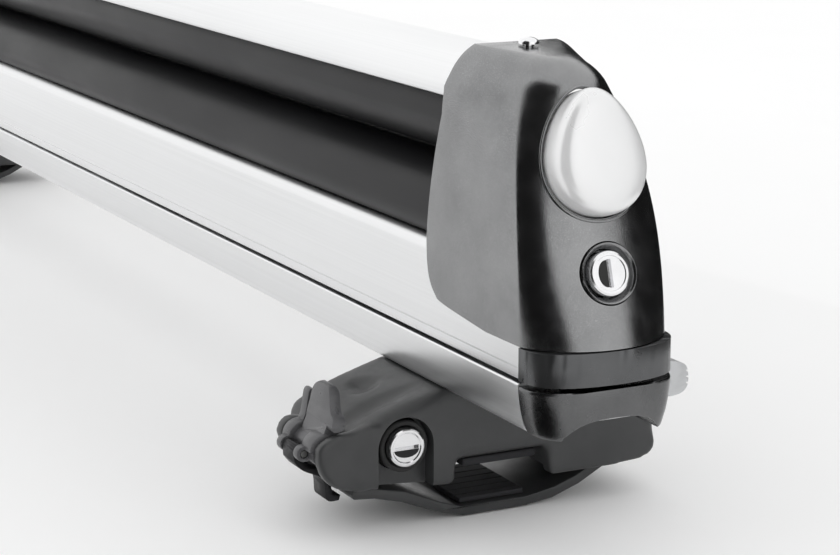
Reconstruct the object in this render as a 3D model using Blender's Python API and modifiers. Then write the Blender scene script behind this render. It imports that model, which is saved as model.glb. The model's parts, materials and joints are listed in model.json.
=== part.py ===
"""Slide-out roof ski rack: two rubber-lined aluminium jaws on a sliding carriage, clamped to a crossbar.

Frame: metres, +Z up, +X along the arms towards the latch, +Y across the bar.  The origin is under the
front foot, where its saddle pad rests on the crossbar.  X values below are counted from the middle of
the rail; object_from_bmesh and pivot move them to that origin.
"""
import math

import bmesh
import bpy
from mathutils import Matrix, Vector

MM = 0.001
COLLECTION = "roof_ski_rack"

# Driving dimensions, in millimetres.
GAP = 0.3                        # between pieces that touch

# extrusions
END_X = 390                      # half the length of the rail and of the carriage arm
RAIL_BOTTOM = 27
RAIL_TOP = 41.7
RAIL_FLOOR = 29.2
RAIL_LIP = 39.7
ARM_HALF_W = 23.2
WALL = 1.8
LOWER_ARM_BOTTOM = 42.5
LOWER_ARM_TOP = 73.1
CREASE_Z = 95.7                  # where the two rubber rolls meet
UPPER_ARM_BOTTOM = 118.3
UPPER_ARM_TOP = 129
UPPER_ARM_ENDS = (-380, 345)
CROWN = (17, 9.4)                # width and height of the upper arm's rounded corners
ROLL_ENDS = (-372, 340)
ROLL_HALF_W = 22

# hinge end
HINGE_X = -398.5
HINGE_Z = 112
PIN_CLEARANCE = 0.3

# latch end
NOTCH_X = 350                    # the carriage arm is cut down from here to its end
NOTCH_Z = 57.5
HOUSING_BOTTOM = 52.8
HOUSING_TOP = 132.7
HOUSING_HALF_W = 24.8
HOUSING_WALL = 1.3
SKIRT_WALL = 0.75                # round the carriage arm
SKIRT_TOP = 60
HOUSING_BACK = 333.6
HOUSING_BACK_TOP = 344
ARM_MOUTH = 346.5                # the upper arm's end reaches this far into the housing
HOUSING_FRONT = 406.0            # foot of the front face
FACE_LEAN = math.atan(0.30)      # the front face leans back by this much
FACE_BOW = 6.5                   # and bows back a little more near its top
NOSE_START = 389.8               # where the sides turn into the rounded nose, at its foot
NOSE_RETREAT = 25                # how much further back that is at the top
NOSE_HALF_W = 24.2
NOSE_TAPER = 14                  # and how much narrower
DOME_HEIGHT = 9                  # the rounded top: how far down it starts
DOME_SIDE = 5                    # and how far it draws in the nose
DOME_FRONT = 12                  # and the front
SHOULDER_Z = 114                 # the sides close in above here
SHOULDER = (20, 16.8)            # height and width of their quarter ellipse
TOP_SLOPE = 0.07                 # the top falls towards the front
BUTTON = (390.2, 0, 106.8)
BUTTON_HALF_W = 14.0
BUTTON_HALF_H = 18.4
BUTTON_TAPER = 0.22              # narrower above its middle, wider below
STEM_REACH = 15.1
LOCK = (399.8, 0, 73.6)
SCREW = (352, 0, 133.3)
LATCH_PIVOT = (369, 0, 92)
STRIKER_X = 361
STRIKER_Z = 84

# slide release
RELEASE_X = (379, 387)
DETENTS_X = (383, 83)            # closed and fully drawn out

# clamp feet: the same section at both ends, locks facing outwards
FOOT_X = 315
FOOT_HALF_L = 24
BOLT_RADIUS = 4
PIN_RADIUS = 2
LINK_PIN_RADIUS = 1.1
LINK_BORE_RADIUS = 1.4
JAW_PIVOT = (46, -0.5)           # (y, z) of the axes that run along the bar
LEVER_PIVOT = (-59, 11)
LINK_PIVOT = (-64.4, 9.6)
FOOT_LOCK = (-34.2, 10)
BARREL_RADIUS = 5.2
WAIST_RADIUS = 3.3


# ---------------------------------------------------------------- helpers
# Every size below is in millimetres; object_from_bmesh turns it into metres.

def clear_scene():
    for item in list(bpy.data.objects):
        bpy.data.objects.remove(item, do_unlink=True)


def make_collection(name):
    made = bpy.data.collections.new(name)
    bpy.context.scene.collection.children.link(made)
    return made


def finish(name, colour, roughness, metallic=0.0):
    material = bpy.data.materials.new(name)
    material.use_nodes = True
    shader = material.node_tree.nodes["Principled BSDF"]
    shader.inputs["Base Color"].default_value = (*colour, 1.0)
    shader.inputs["Roughness"].default_value = roughness
    shader.inputs["Metallic"].default_value = metallic
    material.diffuse_color = (*colour, 1.0)
    return material


def object_from_bmesh(name, bm, material=None):
    bmesh.ops.translate(bm, vec=(-FOOT_X, 0, 0), verts=bm.verts)
    bmesh.ops.scale(bm, vec=(MM, MM, MM), verts=bm.verts)
    bmesh.ops.recalc_face_normals(bm, faces=bm.faces)
    mesh = bpy.data.meshes.new(name)
    bm.to_mesh(mesh)
    bm.free()
    made = bpy.data.objects.new(name, mesh)
    parts.objects.link(made)
    if material:
        mesh.materials.append(material)
    return made


def box(name, low, high, material=None, bevel=0.0):
    """A block between two corners."""
    low = Vector(low)
    high = Vector(high)
    bm = bmesh.new()
    bmesh.ops.create_cube(bm, size=1.0)
    bmesh.ops.scale(bm, vec=high - low, verts=bm.verts)
    bmesh.ops.translate(bm, vec=(low + high) / 2, verts=bm.verts)
    made = object_from_bmesh(name, bm, material)
    if bevel:
        round_edges(made, bevel)
    return made


def leaning_box(name, centre, low, high, material=None, bevel=0.0):
    """A block square to the leaning front face, its corners counted from centre."""
    middle = (Vector(low) + Vector(high)) / 2
    bm = bmesh.new()
    bmesh.ops.create_cube(bm, size=1.0)
    bmesh.ops.scale(bm, vec=Vector(high) - Vector(low), verts=bm.verts)
    turn = Matrix.Rotation(-FACE_LEAN, 4, "Y")
    place = Matrix.Translation(centre) @ turn @ Matrix.Translation(middle)
    bmesh.ops.transform(bm, matrix=place, verts=bm.verts)
    made = object_from_bmesh(name, bm, material)
    if bevel:
        round_edges(made, bevel)
    return made


def spread(x_a, x_b, low, high):
    """Two corners of a block from two X values in any order and its (y, z) corners."""
    return (min(x_a, x_b), *low), (max(x_a, x_b), *high)


def rod(name, start, end, radius, material=None, sides=24):
    """A round bar from start to end."""
    start = Vector(start)
    end = Vector(end)
    along = end - start
    bm = bmesh.new()
    bmesh.ops.create_cone(bm, cap_ends=True, segments=sides, radius1=radius, radius2=radius,
                          depth=along.length)
    turn = along.to_track_quat("Z", "Y").to_matrix().to_4x4()
    bmesh.ops.transform(bm, matrix=Matrix.Translation((start + end) / 2) @ turn, verts=bm.verts)
    made = object_from_bmesh(name, bm, material)
    smooth(made)
    return made


def bar(name, x_a, x_b, axis, radius, material=None, sides=24):
    """A round bar along X about an axis given as (y, z)."""
    return rod(name, (x_a, *axis), (x_b, *axis), radius, material, sides)


def curve_to_mesh(name, curve_object, material):
    """Turn a curve object into a welded mesh object at the same place."""
    bpy.context.view_layer.update()
    evaluated = curve_object.evaluated_get(bpy.context.evaluated_depsgraph_get())
    mesh = bpy.data.meshes.new_from_object(evaluated)
    bm = bmesh.new()
    bm.from_mesh(mesh)
    bm.transform(curve_object.matrix_world)
    bmesh.ops.remove_doubles(bm, verts=bm.verts, dist=1e-3)
    bpy.data.objects.remove(curve_object, do_unlink=True)
    bpy.data.meshes.remove(mesh)
    return object_from_bmesh(name, bm, material)


def prism(name, axis, outlines, low, high, material=None, bevel=0.0):
    """Extrude flat outlines along an axis; a second outline is a hole.

    Outlines are (y, z) for axis X, (x, z) for axis Y and (x, y) for axis Z.
    """
    curve = bpy.data.curves.new(name, "CURVE")
    curve.dimensions = "2D"
    curve.fill_mode = "BOTH"
    curve.extrude = (high - low) / 2
    for outline in outlines:
        spline = curve.splines.new("POLY")
        spline.points.add(len(outline) - 1)
        for point, (a, b) in zip(spline.points, outline):
            point.co = (b, a, 0, 1) if axis == "Y" else (a, b, 0, 1)
        spline.use_cyclic_u = True
    made = bpy.data.objects.new(name + "_outline", curve)
    parts.objects.link(made)
    middle = (low + high) / 2
    if axis == "X":
        made.matrix_world = Matrix(((0, 0, 1, middle), (1, 0, 0, 0), (0, 1, 0, 0), (0, 0, 0, 1)))
    elif axis == "Y":
        made.matrix_world = Matrix(((0, 1, 0, 0), (0, 0, 1, middle), (1, 0, 0, 0), (0, 0, 0, 1)))
    else:
        made.matrix_world = Matrix.Translation((0, 0, middle))
    made = curve_to_mesh(name, made, material)
    if bevel:
        round_edges(made, bevel)
    return made


def loft(name, rings, material=None):
    """Join closed rings of equal length into one body, capped at both ends."""
    bm = bmesh.new()
    rows = [[bm.verts.new(point) for point in ring] for ring in rings]
    count = len(rows[0])
    for lower, upper in zip(rows, rows[1:]):
        for i in range(count):
            j = (i + 1) % count
            bm.faces.new((lower[i], lower[j], upper[j], upper[i]))
    bm.faces.new(rows[0])
    bm.faces.new(rows[-1])
    bmesh.ops.triangulate(bm, faces=bm.faces)
    return object_from_bmesh(name, bm, material)


def wire(name, points, radius, material=None):
    """A round wire through points."""
    curve = bpy.data.curves.new(name, "CURVE")
    curve.dimensions = "3D"
    curve.bevel_depth = radius
    curve.bevel_resolution = 2
    curve.use_fill_caps = True
    spline = curve.splines.new("POLY")
    spline.points.add(len(points) - 1)
    for point, place in zip(spline.points, points):
        point.co = (*place, 1)
    made = bpy.data.objects.new(name + "_path", curve)
    parts.objects.link(made)
    made = curve_to_mesh(name, made, material)
    smooth(made)
    return made


def coil(name, start, end, radius, wire_radius, turns, material):
    """A compression spring between two points."""
    start = Vector(start)
    along = Vector(end) - start
    turn = along.to_track_quat("Z", "Y")
    steps = turns * 8
    points = []
    for i in range(steps + 1):
        angle = 2 * math.pi * turns * i / steps
        offset = Vector((radius * math.cos(angle), radius * math.sin(angle), along.length * i / steps))
        points.append(start + turn @ offset)
    return wire(name, points, wire_radius, material)


def round_edges(piece, width, segments=2):
    modifier = piece.modifiers.new("rounded_edges", "BEVEL")
    modifier.width = width * MM
    modifier.segments = segments
    modifier.limit_method = "ANGLE"
    modifier.angle_limit = math.radians(35)
    smooth(piece)


def smooth(piece, angle=40):
    piece.data.shade_smooth()
    piece.data.set_sharp_from_angle(angle=math.radians(angle))


def cut(piece, *tools):
    """Take each tool's shape away from the piece."""
    combine(piece, tools, "DIFFERENCE")


def join(piece, *tools):
    """Add each tool's shape to the piece."""
    combine(piece, tools, "UNION")


def combine(piece, tools, operation):
    for tool in tools:
        modifier = piece.modifiers.new(operation.lower(), "BOOLEAN")
        modifier.operation = operation
        modifier.object = tool
        tool.hide_render = True
        tool.display_type = "WIRE"
        parts.objects.unlink(tool)
        cutters.objects.link(tool)


def pivot(name, place):
    """An empty on a joint's axis, for the pieces that move about it."""
    made = bpy.data.objects.new(name, None)
    made.location = (Vector(place) - Vector((FOOT_X, 0, 0))) * MM
    parts.objects.link(made)
    return made


def hang(anchor, *pieces):
    """Parent pieces to an empty and leave them where they stand."""
    for piece in pieces:
        piece.parent = anchor
        piece.matrix_parent_inverse = Matrix.Translation(anchor.location).inverted()


def arc(centre, radius, first, last, steps):
    """Points on an arc, angles in degrees."""
    points = []
    for i in range(steps + 1):
        angle = math.radians(first + (last - first) * i / steps)
        points.append((centre[0] + radius * math.cos(angle), centre[1] + radius * math.sin(angle)))
    return points


def mirrored(half):
    """A closed outline from its right half; a point on the centre line is kept once."""
    return half + [(-a, b) for a, b in reversed(half) if a > 0]


def face_point(centre, out, up=0.0):
    """A point at a distance out of, and up along, the leaning front face."""
    lean_c = math.cos(FACE_LEAN)
    lean_s = math.sin(FACE_LEAN)
    x, y, z = centre
    return (x + out * lean_c - up * lean_s, y, z + out * lean_s + up * lean_c)


# ---------------------------------------------------------------- base rail

def build_base_rail():
    """Open channel with inward lips, bolted down on the feet."""
    outside = [(21, RAIL_BOTTOM), (22.6, 31), (23.6, 37), (24, RAIL_TOP), (10, RAIL_TOP)]
    inside = [(10, RAIL_LIP), (22, RAIL_LIP), (20.6, 31), (19.2, RAIL_FLOOR)]
    made = prism("base_rail", "X", [mirrored(outside + inside)], -END_X, END_X, ALUMINIUM)
    for x in (-FOOT_X, FOOT_X):
        cut(made, rod("rail_bolt_hole", (x, 0, 25), (x, 0, 31), BOLT_RADIUS + 0.4))
    low, high = RELEASE_X
    cut(made, box("release_slot", (low - 2, 7, 30), (high + 2, 27, 44)))
    smooth(made)
    return made


def rail_cap(name, side):
    """End cap of the rail: crowned in plan, with two lobes and an arch below."""
    near = END_X + GAP
    half = [(near, 24), (396.5, 23.4), (400.6, 20.8), (403.2, 15.5), (404.4, 8)]
    plan = [(side * x, y) for x, y in half] + [(side * x, -y) for x, y in reversed(half)]
    made = prism(name, "Z", [plan], 26.6, RAIL_TOP - 0.8, DARK_PLASTIC, bevel=1.2)
    bow = mirrored([(0, 30.6), (6, 30.1), (12, 28.2), (15.5, 25)])
    join(made, box(name + "_plug", *spread(side * 388, side * 392, (-18, 30.2), (18, 38.4))))
    cut(made, prism(name + "_arch", "X", [bow], *sorted((side * 386, side * 408))))
    return made


def build_release():
    """Push tab on the side of the rail, with its tooth and return spring."""
    low, high = RELEASE_X
    middle = (low + high) / 2
    made = box("slide_release_button", (low, -10, 30.6), (high, 24, 34.8), LIGHT_PLASTIC)
    tab = [(23, 30.2), (27, 30), (34.4, 31), (36.2, 33), (36.2, 37.4), (35, 39.8), (30, 41.4), (23, 42)]
    join(made, prism("release_tab", "X", [tab], low, high, bevel=0.8),
         box("release_tooth", (low + 1, 9, 33), (high - 1, 13, 41.9)))
    coil("release_spring", (middle, -20.2, 33), (middle, -10.9, 33), 1.6, 0.35, 4, STEEL)
    hang(pivot("release_axis", (middle, 0, 33)), made)


# ---------------------------------------------------------------- clamp feet

def saddle_outline():
    """Section of the saddle across the bar, from the top going round the lever side."""
    return [(20, 26.7), (-20, 26.7), (-35, 22.3), (-46.4, 18), (-51.8, 15), (-53, 12), (-53, 2.4),
            (-51.6, 0.2), (-44, -2.5), (-17.5, -4.5), (-15.6, 2.8), (15.6, 2.8), (17.5, -6.4),
            (51, -5.8), (55, -4.2), (57, -1), (56.6, 7), (50, 14), (36, 21.4)]


def build_saddle(name, side):
    """Body of the foot: sits on the bar, carries the lever between two lugs and the lock."""
    centre = side * FOOT_X
    y, z = LEVER_PIVOT
    ends = (centre - FOOT_HALF_L, centre + FOOT_HALF_L)
    made = prism(name, "X", [saddle_outline()], *ends, DARK_PLASTIC, bevel=2.2)
    lug = [(-50, 2.2), (-54.7, 5)] + arc((y, z), BARREL_RADIUS, 220, 60, 8) + [(-53.8, 16), (-50, 15)]
    for near, far in ((19.4, 23.4), (-8.4, -3.4)):
        x_range = sorted((centre + side * near, centre + side * far))
        join(made, prism(name + "_lug", "X", [lug], *x_range))
    lock_y, lock_z = FOOT_LOCK
    recess = [(lock_y - 9.5, -8)] + arc(FOOT_LOCK, 9.5, 180, 0, 12) + [(lock_y + 9.5, -8)]
    cut(made,
        box(name + "_hinge_pocket", (centre - 19, 17, -10), (centre + 19, 51.4, 5.4)),
        box(name + "_link_pocket",
            *spread(centre + side * 2.2, centre + side * 12.2, (-58, -7), (-40, 7.5))),
        bar(name + "_lock_bore", centre + side * 6, centre + side * 26, FOOT_LOCK, 8.6),
        prism(name + "_lock_recess", "X", [recess], *sorted((centre + side * 18, centre + side * 30))),
        bar(name + "_jaw_pin_hole", centre - 23, centre + 23, JAW_PIVOT, PIN_RADIUS + PIN_CLEARANCE),
        bar(name + "_lever_pin_hole", centre - 30, centre + 30, LEVER_PIVOT, PIN_RADIUS + PIN_CLEARANCE),
        rod(name + "_bolt_hole", (centre, 0, 10), (centre, 0, 30), BOLT_RADIUS + 0.4),
        rod(name + "_nut_pocket", (centre, 0, 1), (centre, 0, 16), 8))
    return made


def build_jaw(name, side):
    """Dished strap that passes under the bar from its pin to the draw link."""
    centre = side * FOOT_X
    top = [(42, -3.6), (30, -9.6), (19, -13), (12, -14), (-12, -14), (-19, -11.6), (-32, -6), (-43, -3.5),
           (-49.6, -3.2)]
    bottom = [(-50.4, -4.6), (-49.6, -6.2), (-43, -6.8), (-33, -9.4), (-21, -14.6), (-12, -17), (12, -17),
              (21, -16), (31, -12.6), (43, -6.4), (49, -3), (49.6, -0.5), (46, 2)]
    made = prism(name, "X", [top + bottom], centre - 18.5, centre + 18.5, DARK_PLASTIC)
    join(made, bar(name + "_knuckle", centre - 18.2, centre + 18.2, JAW_PIVOT, 4))
    cut(made, bar(name + "_bore", centre - 20, centre + 20, JAW_PIVOT, PIN_RADIUS + PIN_CLEARANCE))
    return made


def build_lever(name, side):
    """Cam lever: a waisted barrel along the bar, a broad upright ear, a narrow rib and two link lugs."""
    centre = side * FOOT_X
    made = bar(name, centre - side * 2.8, centre + side * 18.6, LEVER_PIVOT, WAIST_RADIUS, GREY_PLASTIC, 20)
    for near, far in ((-3, 2.4), (12, 18.8)):
        x_range = (centre + side * near, centre + side * far)
        join(made, bar(name + "_barrel", *x_range, LEVER_PIVOT, BARREL_RADIUS))
    root = [(-60.7, 13), (-55.7, 12), (-54.6, 19.4), (-57.8, 20)]
    ear = [(-58.2, 17.8), (-54.3, 17.8), (-52.9, 28.6), (-54.3, 30), (-56.1, 29)]
    rib = [(-60.1, 13), (-55.7, 12), (-54.7, 20), (-54.1, 24.6), (-55.3, 25.8), (-56.7, 24.8), (-57.9, 18)]
    lug = [(-60, 7.4), (-60, 13.4)] + arc(LINK_PIVOT, 2.5, 80, 260, 6)
    for suffix, outline, near, far, bevel in (
            ("_ear_root", root, 3.4, 18.3, 0), ("_ear", ear, 3, 22, 0.6), ("_rib", rib, -2.6, 1.4, 0.6),
            ("_lug", lug, -0.6, 2.3, 0), ("_lug", lug, 12.1, 15, 0)):
        x_range = sorted((centre + side * near, centre + side * far))
        join(made, prism(name + suffix, "X", [outline], *x_range, bevel=bevel))
    cut(made,
        bar(name + "_bore", centre - 30, centre + 30, LEVER_PIVOT, PIN_RADIUS + PIN_CLEARANCE, sides=16),
        bar(name + "_link_bore", centre - 30, centre + 30, LINK_PIVOT, LINK_BORE_RADIUS, sides=16))
    return made


def build_link(name, side):
    """Draw link: hangs from the lever, passes under the barrel and reaches in under the jaw's tip."""
    centre = side * FOOT_X
    outer = [(-66.2, 6.4), (-63.4, 3.2), (-57.6, 0.4), (-56.2, -2), (-55.8, -6.6), (-54.4, -8), (-51.4, -8)]
    inner = [(-50.9, -6.4), (-53, -6.1), (-53.8, -5), (-54.2, -0.8), (-55.6, 1.8), (-61.6, 5.2),
             (-62.6, 7.4)]
    outline = arc(LINK_PIVOT, 2, 0, 180, 8) + outer + inner
    x_range = sorted((centre + side * 2.8, centre + side * 11.6))
    made = prism(name, "X", [outline], *x_range, BLACK_STEEL)
    cut(made, bar(name + "_bore", centre - 30, centre + 30, LINK_PIVOT, LINK_BORE_RADIUS, sides=16))
    return made


def build_foot_lock(name, side):
    centre = side * FOOT_X
    y, z = FOOT_LOCK
    made = bar(name, centre + side * 8, centre + side * 24.6, FOOT_LOCK, 6.2, CHROME, 32)
    cut(made, box(name + "_keyway", *spread(centre + side * 23, centre + side * 30, (y - 3.8, z - 0.7),
                                            (y + 3.8, z + 0.7))))
    return made


def build_lock_sleeve(name, side):
    centre = side * FOOT_X
    rings = [arc(FOOT_LOCK, radius, 0, 345, 23) for radius in (8.2, 6.5)]
    made = prism(name, "X", rings, *sorted((centre + side * 8, centre + side * 22.6)), DARK_PLASTIC)
    smooth(made)
    return made


def build_foot_bolt(label, centre):
    bolt = rod("foot_bolt_" + label, (centre, 0, 7.5), (centre, 0, 30), BOLT_RADIUS, STEEL)
    join(bolt, rod("foot_bolt_head_" + label, (centre, 0, 29.5), (centre, 0, 33), 7.5))
    nut = rod("foot_nut_" + label, (centre, 0, 9), (centre, 0, 15.4), 7.3, STEEL, 6)
    cut(nut, rod("foot_nut_bore_" + label, (centre, 0, 5), (centre, 0, 20), BOLT_RADIUS + GAP))


def build_foot(label, side):
    """One clamp foot; its lock faces the end of the rack."""
    centre = side * FOOT_X
    build_saddle("foot_saddle_" + label, side)
    box("saddle_pad_" + label, (centre - 21, -13, 0), (centre + 21, 13, 2.5), RUBBER, bevel=0.5)
    build_foot_bolt(label, centre)
    bar("jaw_pin_" + label, centre - 22, centre + 22, JAW_PIVOT, PIN_RADIUS, STEEL, 16)
    bar("lever_pin_" + label, centre - side * 8, centre + side * 23, LEVER_PIVOT, PIN_RADIUS, STEEL, 16)
    build_lock_sleeve("lock_sleeve_" + label, side)
    jaw = build_jaw("foot_jaw_" + label, side)
    pad = box("jaw_pad_" + label, (centre - 16, -11.5, -13.7), (centre + 16, 11.5, -12), RUBBER)
    hang(pivot("jaw_axis_" + label, (centre, *JAW_PIVOT)), jaw, pad)
    lever = build_lever("cam_lever_" + label, side)
    pin_ends = (centre - side * 0.4, centre + side * 14.8)
    link_pin = bar("link_pin_" + label, *pin_ends, LINK_PIVOT, LINK_PIN_RADIUS, STEEL, 12)
    hang(pivot("lever_axis_" + label, (centre, *LEVER_PIVOT)), lever, link_pin)
    hang(pivot("link_axis_" + label, (centre, *LINK_PIVOT)), build_link("draw_link_" + label, side))
    hang(pivot("foot_lock_axis_" + label, (centre, *FOOT_LOCK)), build_foot_lock("foot_lock_" + label, side))


# ---------------------------------------------------------------- carriage

def arm_section(bottom, top, corner, half_w):
    """Outline of an arm whose top corners are quarter ellipses, given as (width, height)."""
    wide, high = corner
    crown = [(half_w - wide + wide * c, top - high + high * s) for c, s in arc((0, 0), 1, 0, 90, 7)]
    return mirrored([(half_w - 1, bottom), (half_w, bottom + 1)] + crown)


def build_lower_arm():
    low, high = LOWER_ARM_BOTTOM, LOWER_ARM_TOP
    outer = arm_section(low, high, (4, 4), ARM_HALF_W)
    inner = mirrored([(ARM_HALF_W - WALL, low + WALL)] + arc((19.2, high - 4), 2.2, 0, 90, 3))
    made = prism("lower_arm", "X", [outer, inner], -END_X, END_X, ALUMINIUM)
    cut(made, box("latch_notch", (NOTCH_X, -30, NOTCH_Z), (END_X + 5, 30, 80)))
    cut(made, box("corner_notch", (376, -30, 52.3), (END_X + 5, 30, 60)))
    for x in DETENTS_X:
        cut(made, box("detent_slot", (x - 5, -4, 40), (x + 5, 14, 45)))
    smooth(made)
    return made


def build_roll(name, base, crease):
    """D-shaped rubber roll between its arm and the crease, with a narrow flat where the rolls meet."""
    height = crease - base
    points = [(19, base), (21.4, base + 0.16 * height)]
    for c, s in arc((0, 0), 1, 10, 76, 8):
        points.append((ROLL_HALF_W * c, base + height * (0.22 + 0.78 * s)))
    made = prism(name, "X", [mirrored(points + [(5, crease)])], *ROLL_ENDS, RUBBER)
    smooth(made, 60)
    return made


def build_lower_front_cap():
    """Band that closes the front of the carriage arm, with a plug inside it."""
    half = [(END_X + GAP, 24), (397.5, 22.9), (402.3, 18.8), (405.3, 10.5), (406.4, 3)]
    plan = half + [(x, -y) for x, y in reversed(half)]
    made = prism("lower_front_cap", "Z", [plan], 42.6, 52.4, GREY_PLASTIC, bevel=0.6)
    join(made, box("front_cap_plug", (352, -21, 44.8), (392, 21, 57)))
    return made


def build_striker():
    """Steel loop that the latch hook catches, on its foot plate."""
    x, z = STRIKER_X, STRIKER_Z
    half = [(9, 58), (9, z - 3), (7.8, z - 0.8), (5.6, z)]
    path = [(x, y, height) for y, height in half] + [(x, -y, height) for y, height in reversed(half)]
    made = box("latch_striker", (x - 5, -12.5, 57.3), (x + 5, 12.5, 59.5), STEEL, bevel=0.4)
    join(made, wire("striker_loop", path, 2))
    return made


def build_glide_shoe(name, low, high):
    section = mirrored([(20.2, 35.6), (20.2, 39.2), (9.2, 39.2), (9.2, LOWER_ARM_BOTTOM - GAP)])
    return prism(name, "X", [section], low, high, DARK_PLASTIC)


def build_hinge_bracket():
    """Rear end cap of the carriage, with the guide that the lift link rises in."""
    side = [(-END_X - GAP, 42.6), (-405.8, 42.6), (-408, 46), (-408, 84), (-406, 92), (-403, 95), (-392, 95),
            (-END_X - GAP, 93)]
    made = prism("hinge_bracket", "Y", [side], -24, 24, DARK_PLASTIC, bevel=1.2)
    join(made, box("bracket_plug", (-392, -21, 44.8), (-374, 21, 69)))
    cut(made, box("lift_guide", (-403.4, -11.4, 52), (-393.6, 11.4, 97)))
    return made


def build_lift_link():
    """Steel link that rises in the bracket's guide and carries the hinge pin."""
    x, z = HINGE_X, HINGE_Z
    made = box("lift_link", (-403, -10.7, 53), (-394, 10.7, 108), STEEL)
    join(made, rod("link_knuckle", (x, -11, z), (x, 11, z), 8))
    cut(made, rod("link_bore", (x, -15, z), (x, 15, z), 3 + PIN_CLEARANCE))
    pin = rod("hinge_pin", (x, -21, z), (x, 21, z), 3, STEEL)
    hang(pivot("lift_axis", (x, 0, 53)), made, pin)


# ---------------------------------------------------------------- upper jaw

def build_upper_arm():
    low, high = UPPER_ARM_BOTTOM, UPPER_ARM_TOP
    wide, tall = CROWN
    outer = arm_section(low, high, CROWN, ARM_HALF_W)
    inner = arm_section(low + WALL, high - WALL, (wide - WALL, tall - 3.4), ARM_HALF_W - WALL)
    made = prism("upper_arm", "X", [outer, inner], *UPPER_ARM_ENDS, ALUMINIUM)
    smooth(made)
    return made


def build_hinge_cap():
    """Rear end cap of the upper arm, with two ears on the hinge pin."""
    x, z = HINGE_X, HINGE_Z
    section = arm_section(114, UPPER_ARM_TOP, CROWN, 23.1)
    made = prism("hinge_cap", "X", [section], -389.6, UPPER_ARM_ENDS[0] - GAP, DARK_PLASTIC, bevel=0.8)
    ear = arc((x, z), 9, 130, 290, 8) + [(-388, 108), (-384, 114.5), (-384, 121.4), (-392, 121.8)]
    for low, high in ((11.6, 22.2), (-22.2, -11.6)):
        join(made, prism("hinge_ear", "Y", [ear], low, high))
    join(made, box("hinge_cap_plug", (-382, -20.6, 120.6), (-366, 20.6, 121.8)))
    cut(made, rod("hinge_ear_bore", (x, -30, z), (x, 30, z), 3 + PIN_CLEARANCE))
    return made


def crown_half_width(z):
    """Half-width of the upper arm at height z; the housing must stay outside it."""
    wide, tall = CROWN
    rise = min(1.0, max(0.0, (z - UPPER_ARM_TOP + tall) / tall))
    return ARM_HALF_W - wide + wide * math.sqrt(1 - rise * rise)


def shoulder_half_width(z):
    """Half-width of the housing's back at height z."""
    tall, wide = SHOULDER
    rise = min(1.0, max(0.0, (z - SHOULDER_Z) / tall))
    return HOUSING_HALF_W - wide * (1 - math.sqrt(1 - rise * rise))


def housing_ring(z, inset=0.0, back=None):
    """One plan section of the housing near height z, drawn in all round by inset.

    The sides run straight from the back and close in on an elliptical nose, more so with height.
    """
    level = max(0.0, (z - HOUSING_BOTTOM) / (HOUSING_TOP - HOUSING_BOTTOM))
    dome = min(1.0, max(0.0, (z - HOUSING_TOP + DOME_HEIGHT) / (DOME_HEIGHT - inset)))
    drawn = 1 - math.sqrt(1 - dome * dome)
    lean = math.tan(FACE_LEAN) * (z - HOUSING_BOTTOM)
    bow = FACE_BOW * max(0.0, level - 0.55) ** 2
    front = HOUSING_FRONT - 1.2 * inset - lean - bow - DOME_FRONT * drawn
    nose_start = NOSE_START - NOSE_RETREAT * level ** 2.3 - inset
    nose_half = NOSE_HALF_W - NOSE_TAPER * level ** 2.6 - inset - DOME_SIDE * drawn
    if back is None:
        back = min(HOUSING_BACK + 15.5 * (max(0.0, z - 70) / 55) ** 1.7, HOUSING_BACK_TOP)
    back_half = max(shoulder_half_width(z), crown_half_width(z) + 1.2) - inset
    points = [(back, -back_half), (max(back, ARM_MOUTH), -back_half)]
    for i in range(17):
        angle = math.pi * (i / 16 - 0.5)
        points.append((nose_start + (front - nose_start) * math.cos(angle), nose_half * math.sin(angle)))
    points += [(max(back, ARM_MOUTH), back_half), (back, back_half)]
    return [(x, y, z - TOP_SLOPE * (x - 358) * level ** 3) for x, y in points]


def build_housing():
    """Shell over the latch: a lofted outer form, trimmed along the skirt and hollowed from behind."""
    levels = [52.8, 64, 76, 88, 98, 106, 113, 119, 123.7, 127, 129.6, 131.4, 132.4, 132.7]
    made = loft("latch_housing", [housing_ring(z) for z in levels], DARK_PLASTIC)
    inside = [52, SKIRT_TOP, 64, 76, 88, 98, 106, 113, 119, 123.7, 127, 129, 130.4, 131.1]
    walls = [SKIRT_WALL if z <= SKIRT_TOP else HOUSING_WALL for z in inside]
    cavity = loft("housing_cavity", [housing_ring(z, wall, 345) for z, wall in zip(inside, walls)])
    sleeve = arm_section(40, UPPER_ARM_TOP + 0.4, CROWN, ARM_HALF_W + GAP)
    trim = [(320, 40), (372, 52.75), (345, 55.6), (339.6, 57.6), (336, 61.6), (334.4, 67), (334, 74),
            (320, 74)]
    cut(made, cavity,
        prism("arm_opening", "X", [sleeve], 320, 345.6),
        prism("skirt_trim", "Y", [trim], -30, 30),
        loft("button_opening", [button_ring(1, 0.5, -9), button_ring(1, 0.5, 12)]),
        rod("lock_opening", face_point(LOCK, -30), face_point(LOCK, 10), 9.3, sides=32),
        rod("screw_opening", (SCREW[0], 0, 125), (SCREW[0], 0, 140), 1.8, sides=16))
    smooth(made, 35)
    return made


def button_ring(scale, grow, out):
    """Egg-shaped ring, wider in its lower half, square to the leaning face."""
    ring = []
    for i in range(28):
        angle = 2 * math.pi * i / 28
        across = (BUTTON_HALF_W * scale + grow) * math.cos(angle) * (1 - BUTTON_TAPER * math.sin(angle))
        up = (BUTTON_HALF_H * scale + grow) * math.sin(angle)
        x, _, z = face_point(BUTTON, out, up)
        ring.append((x, across, z))
    return ring


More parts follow.
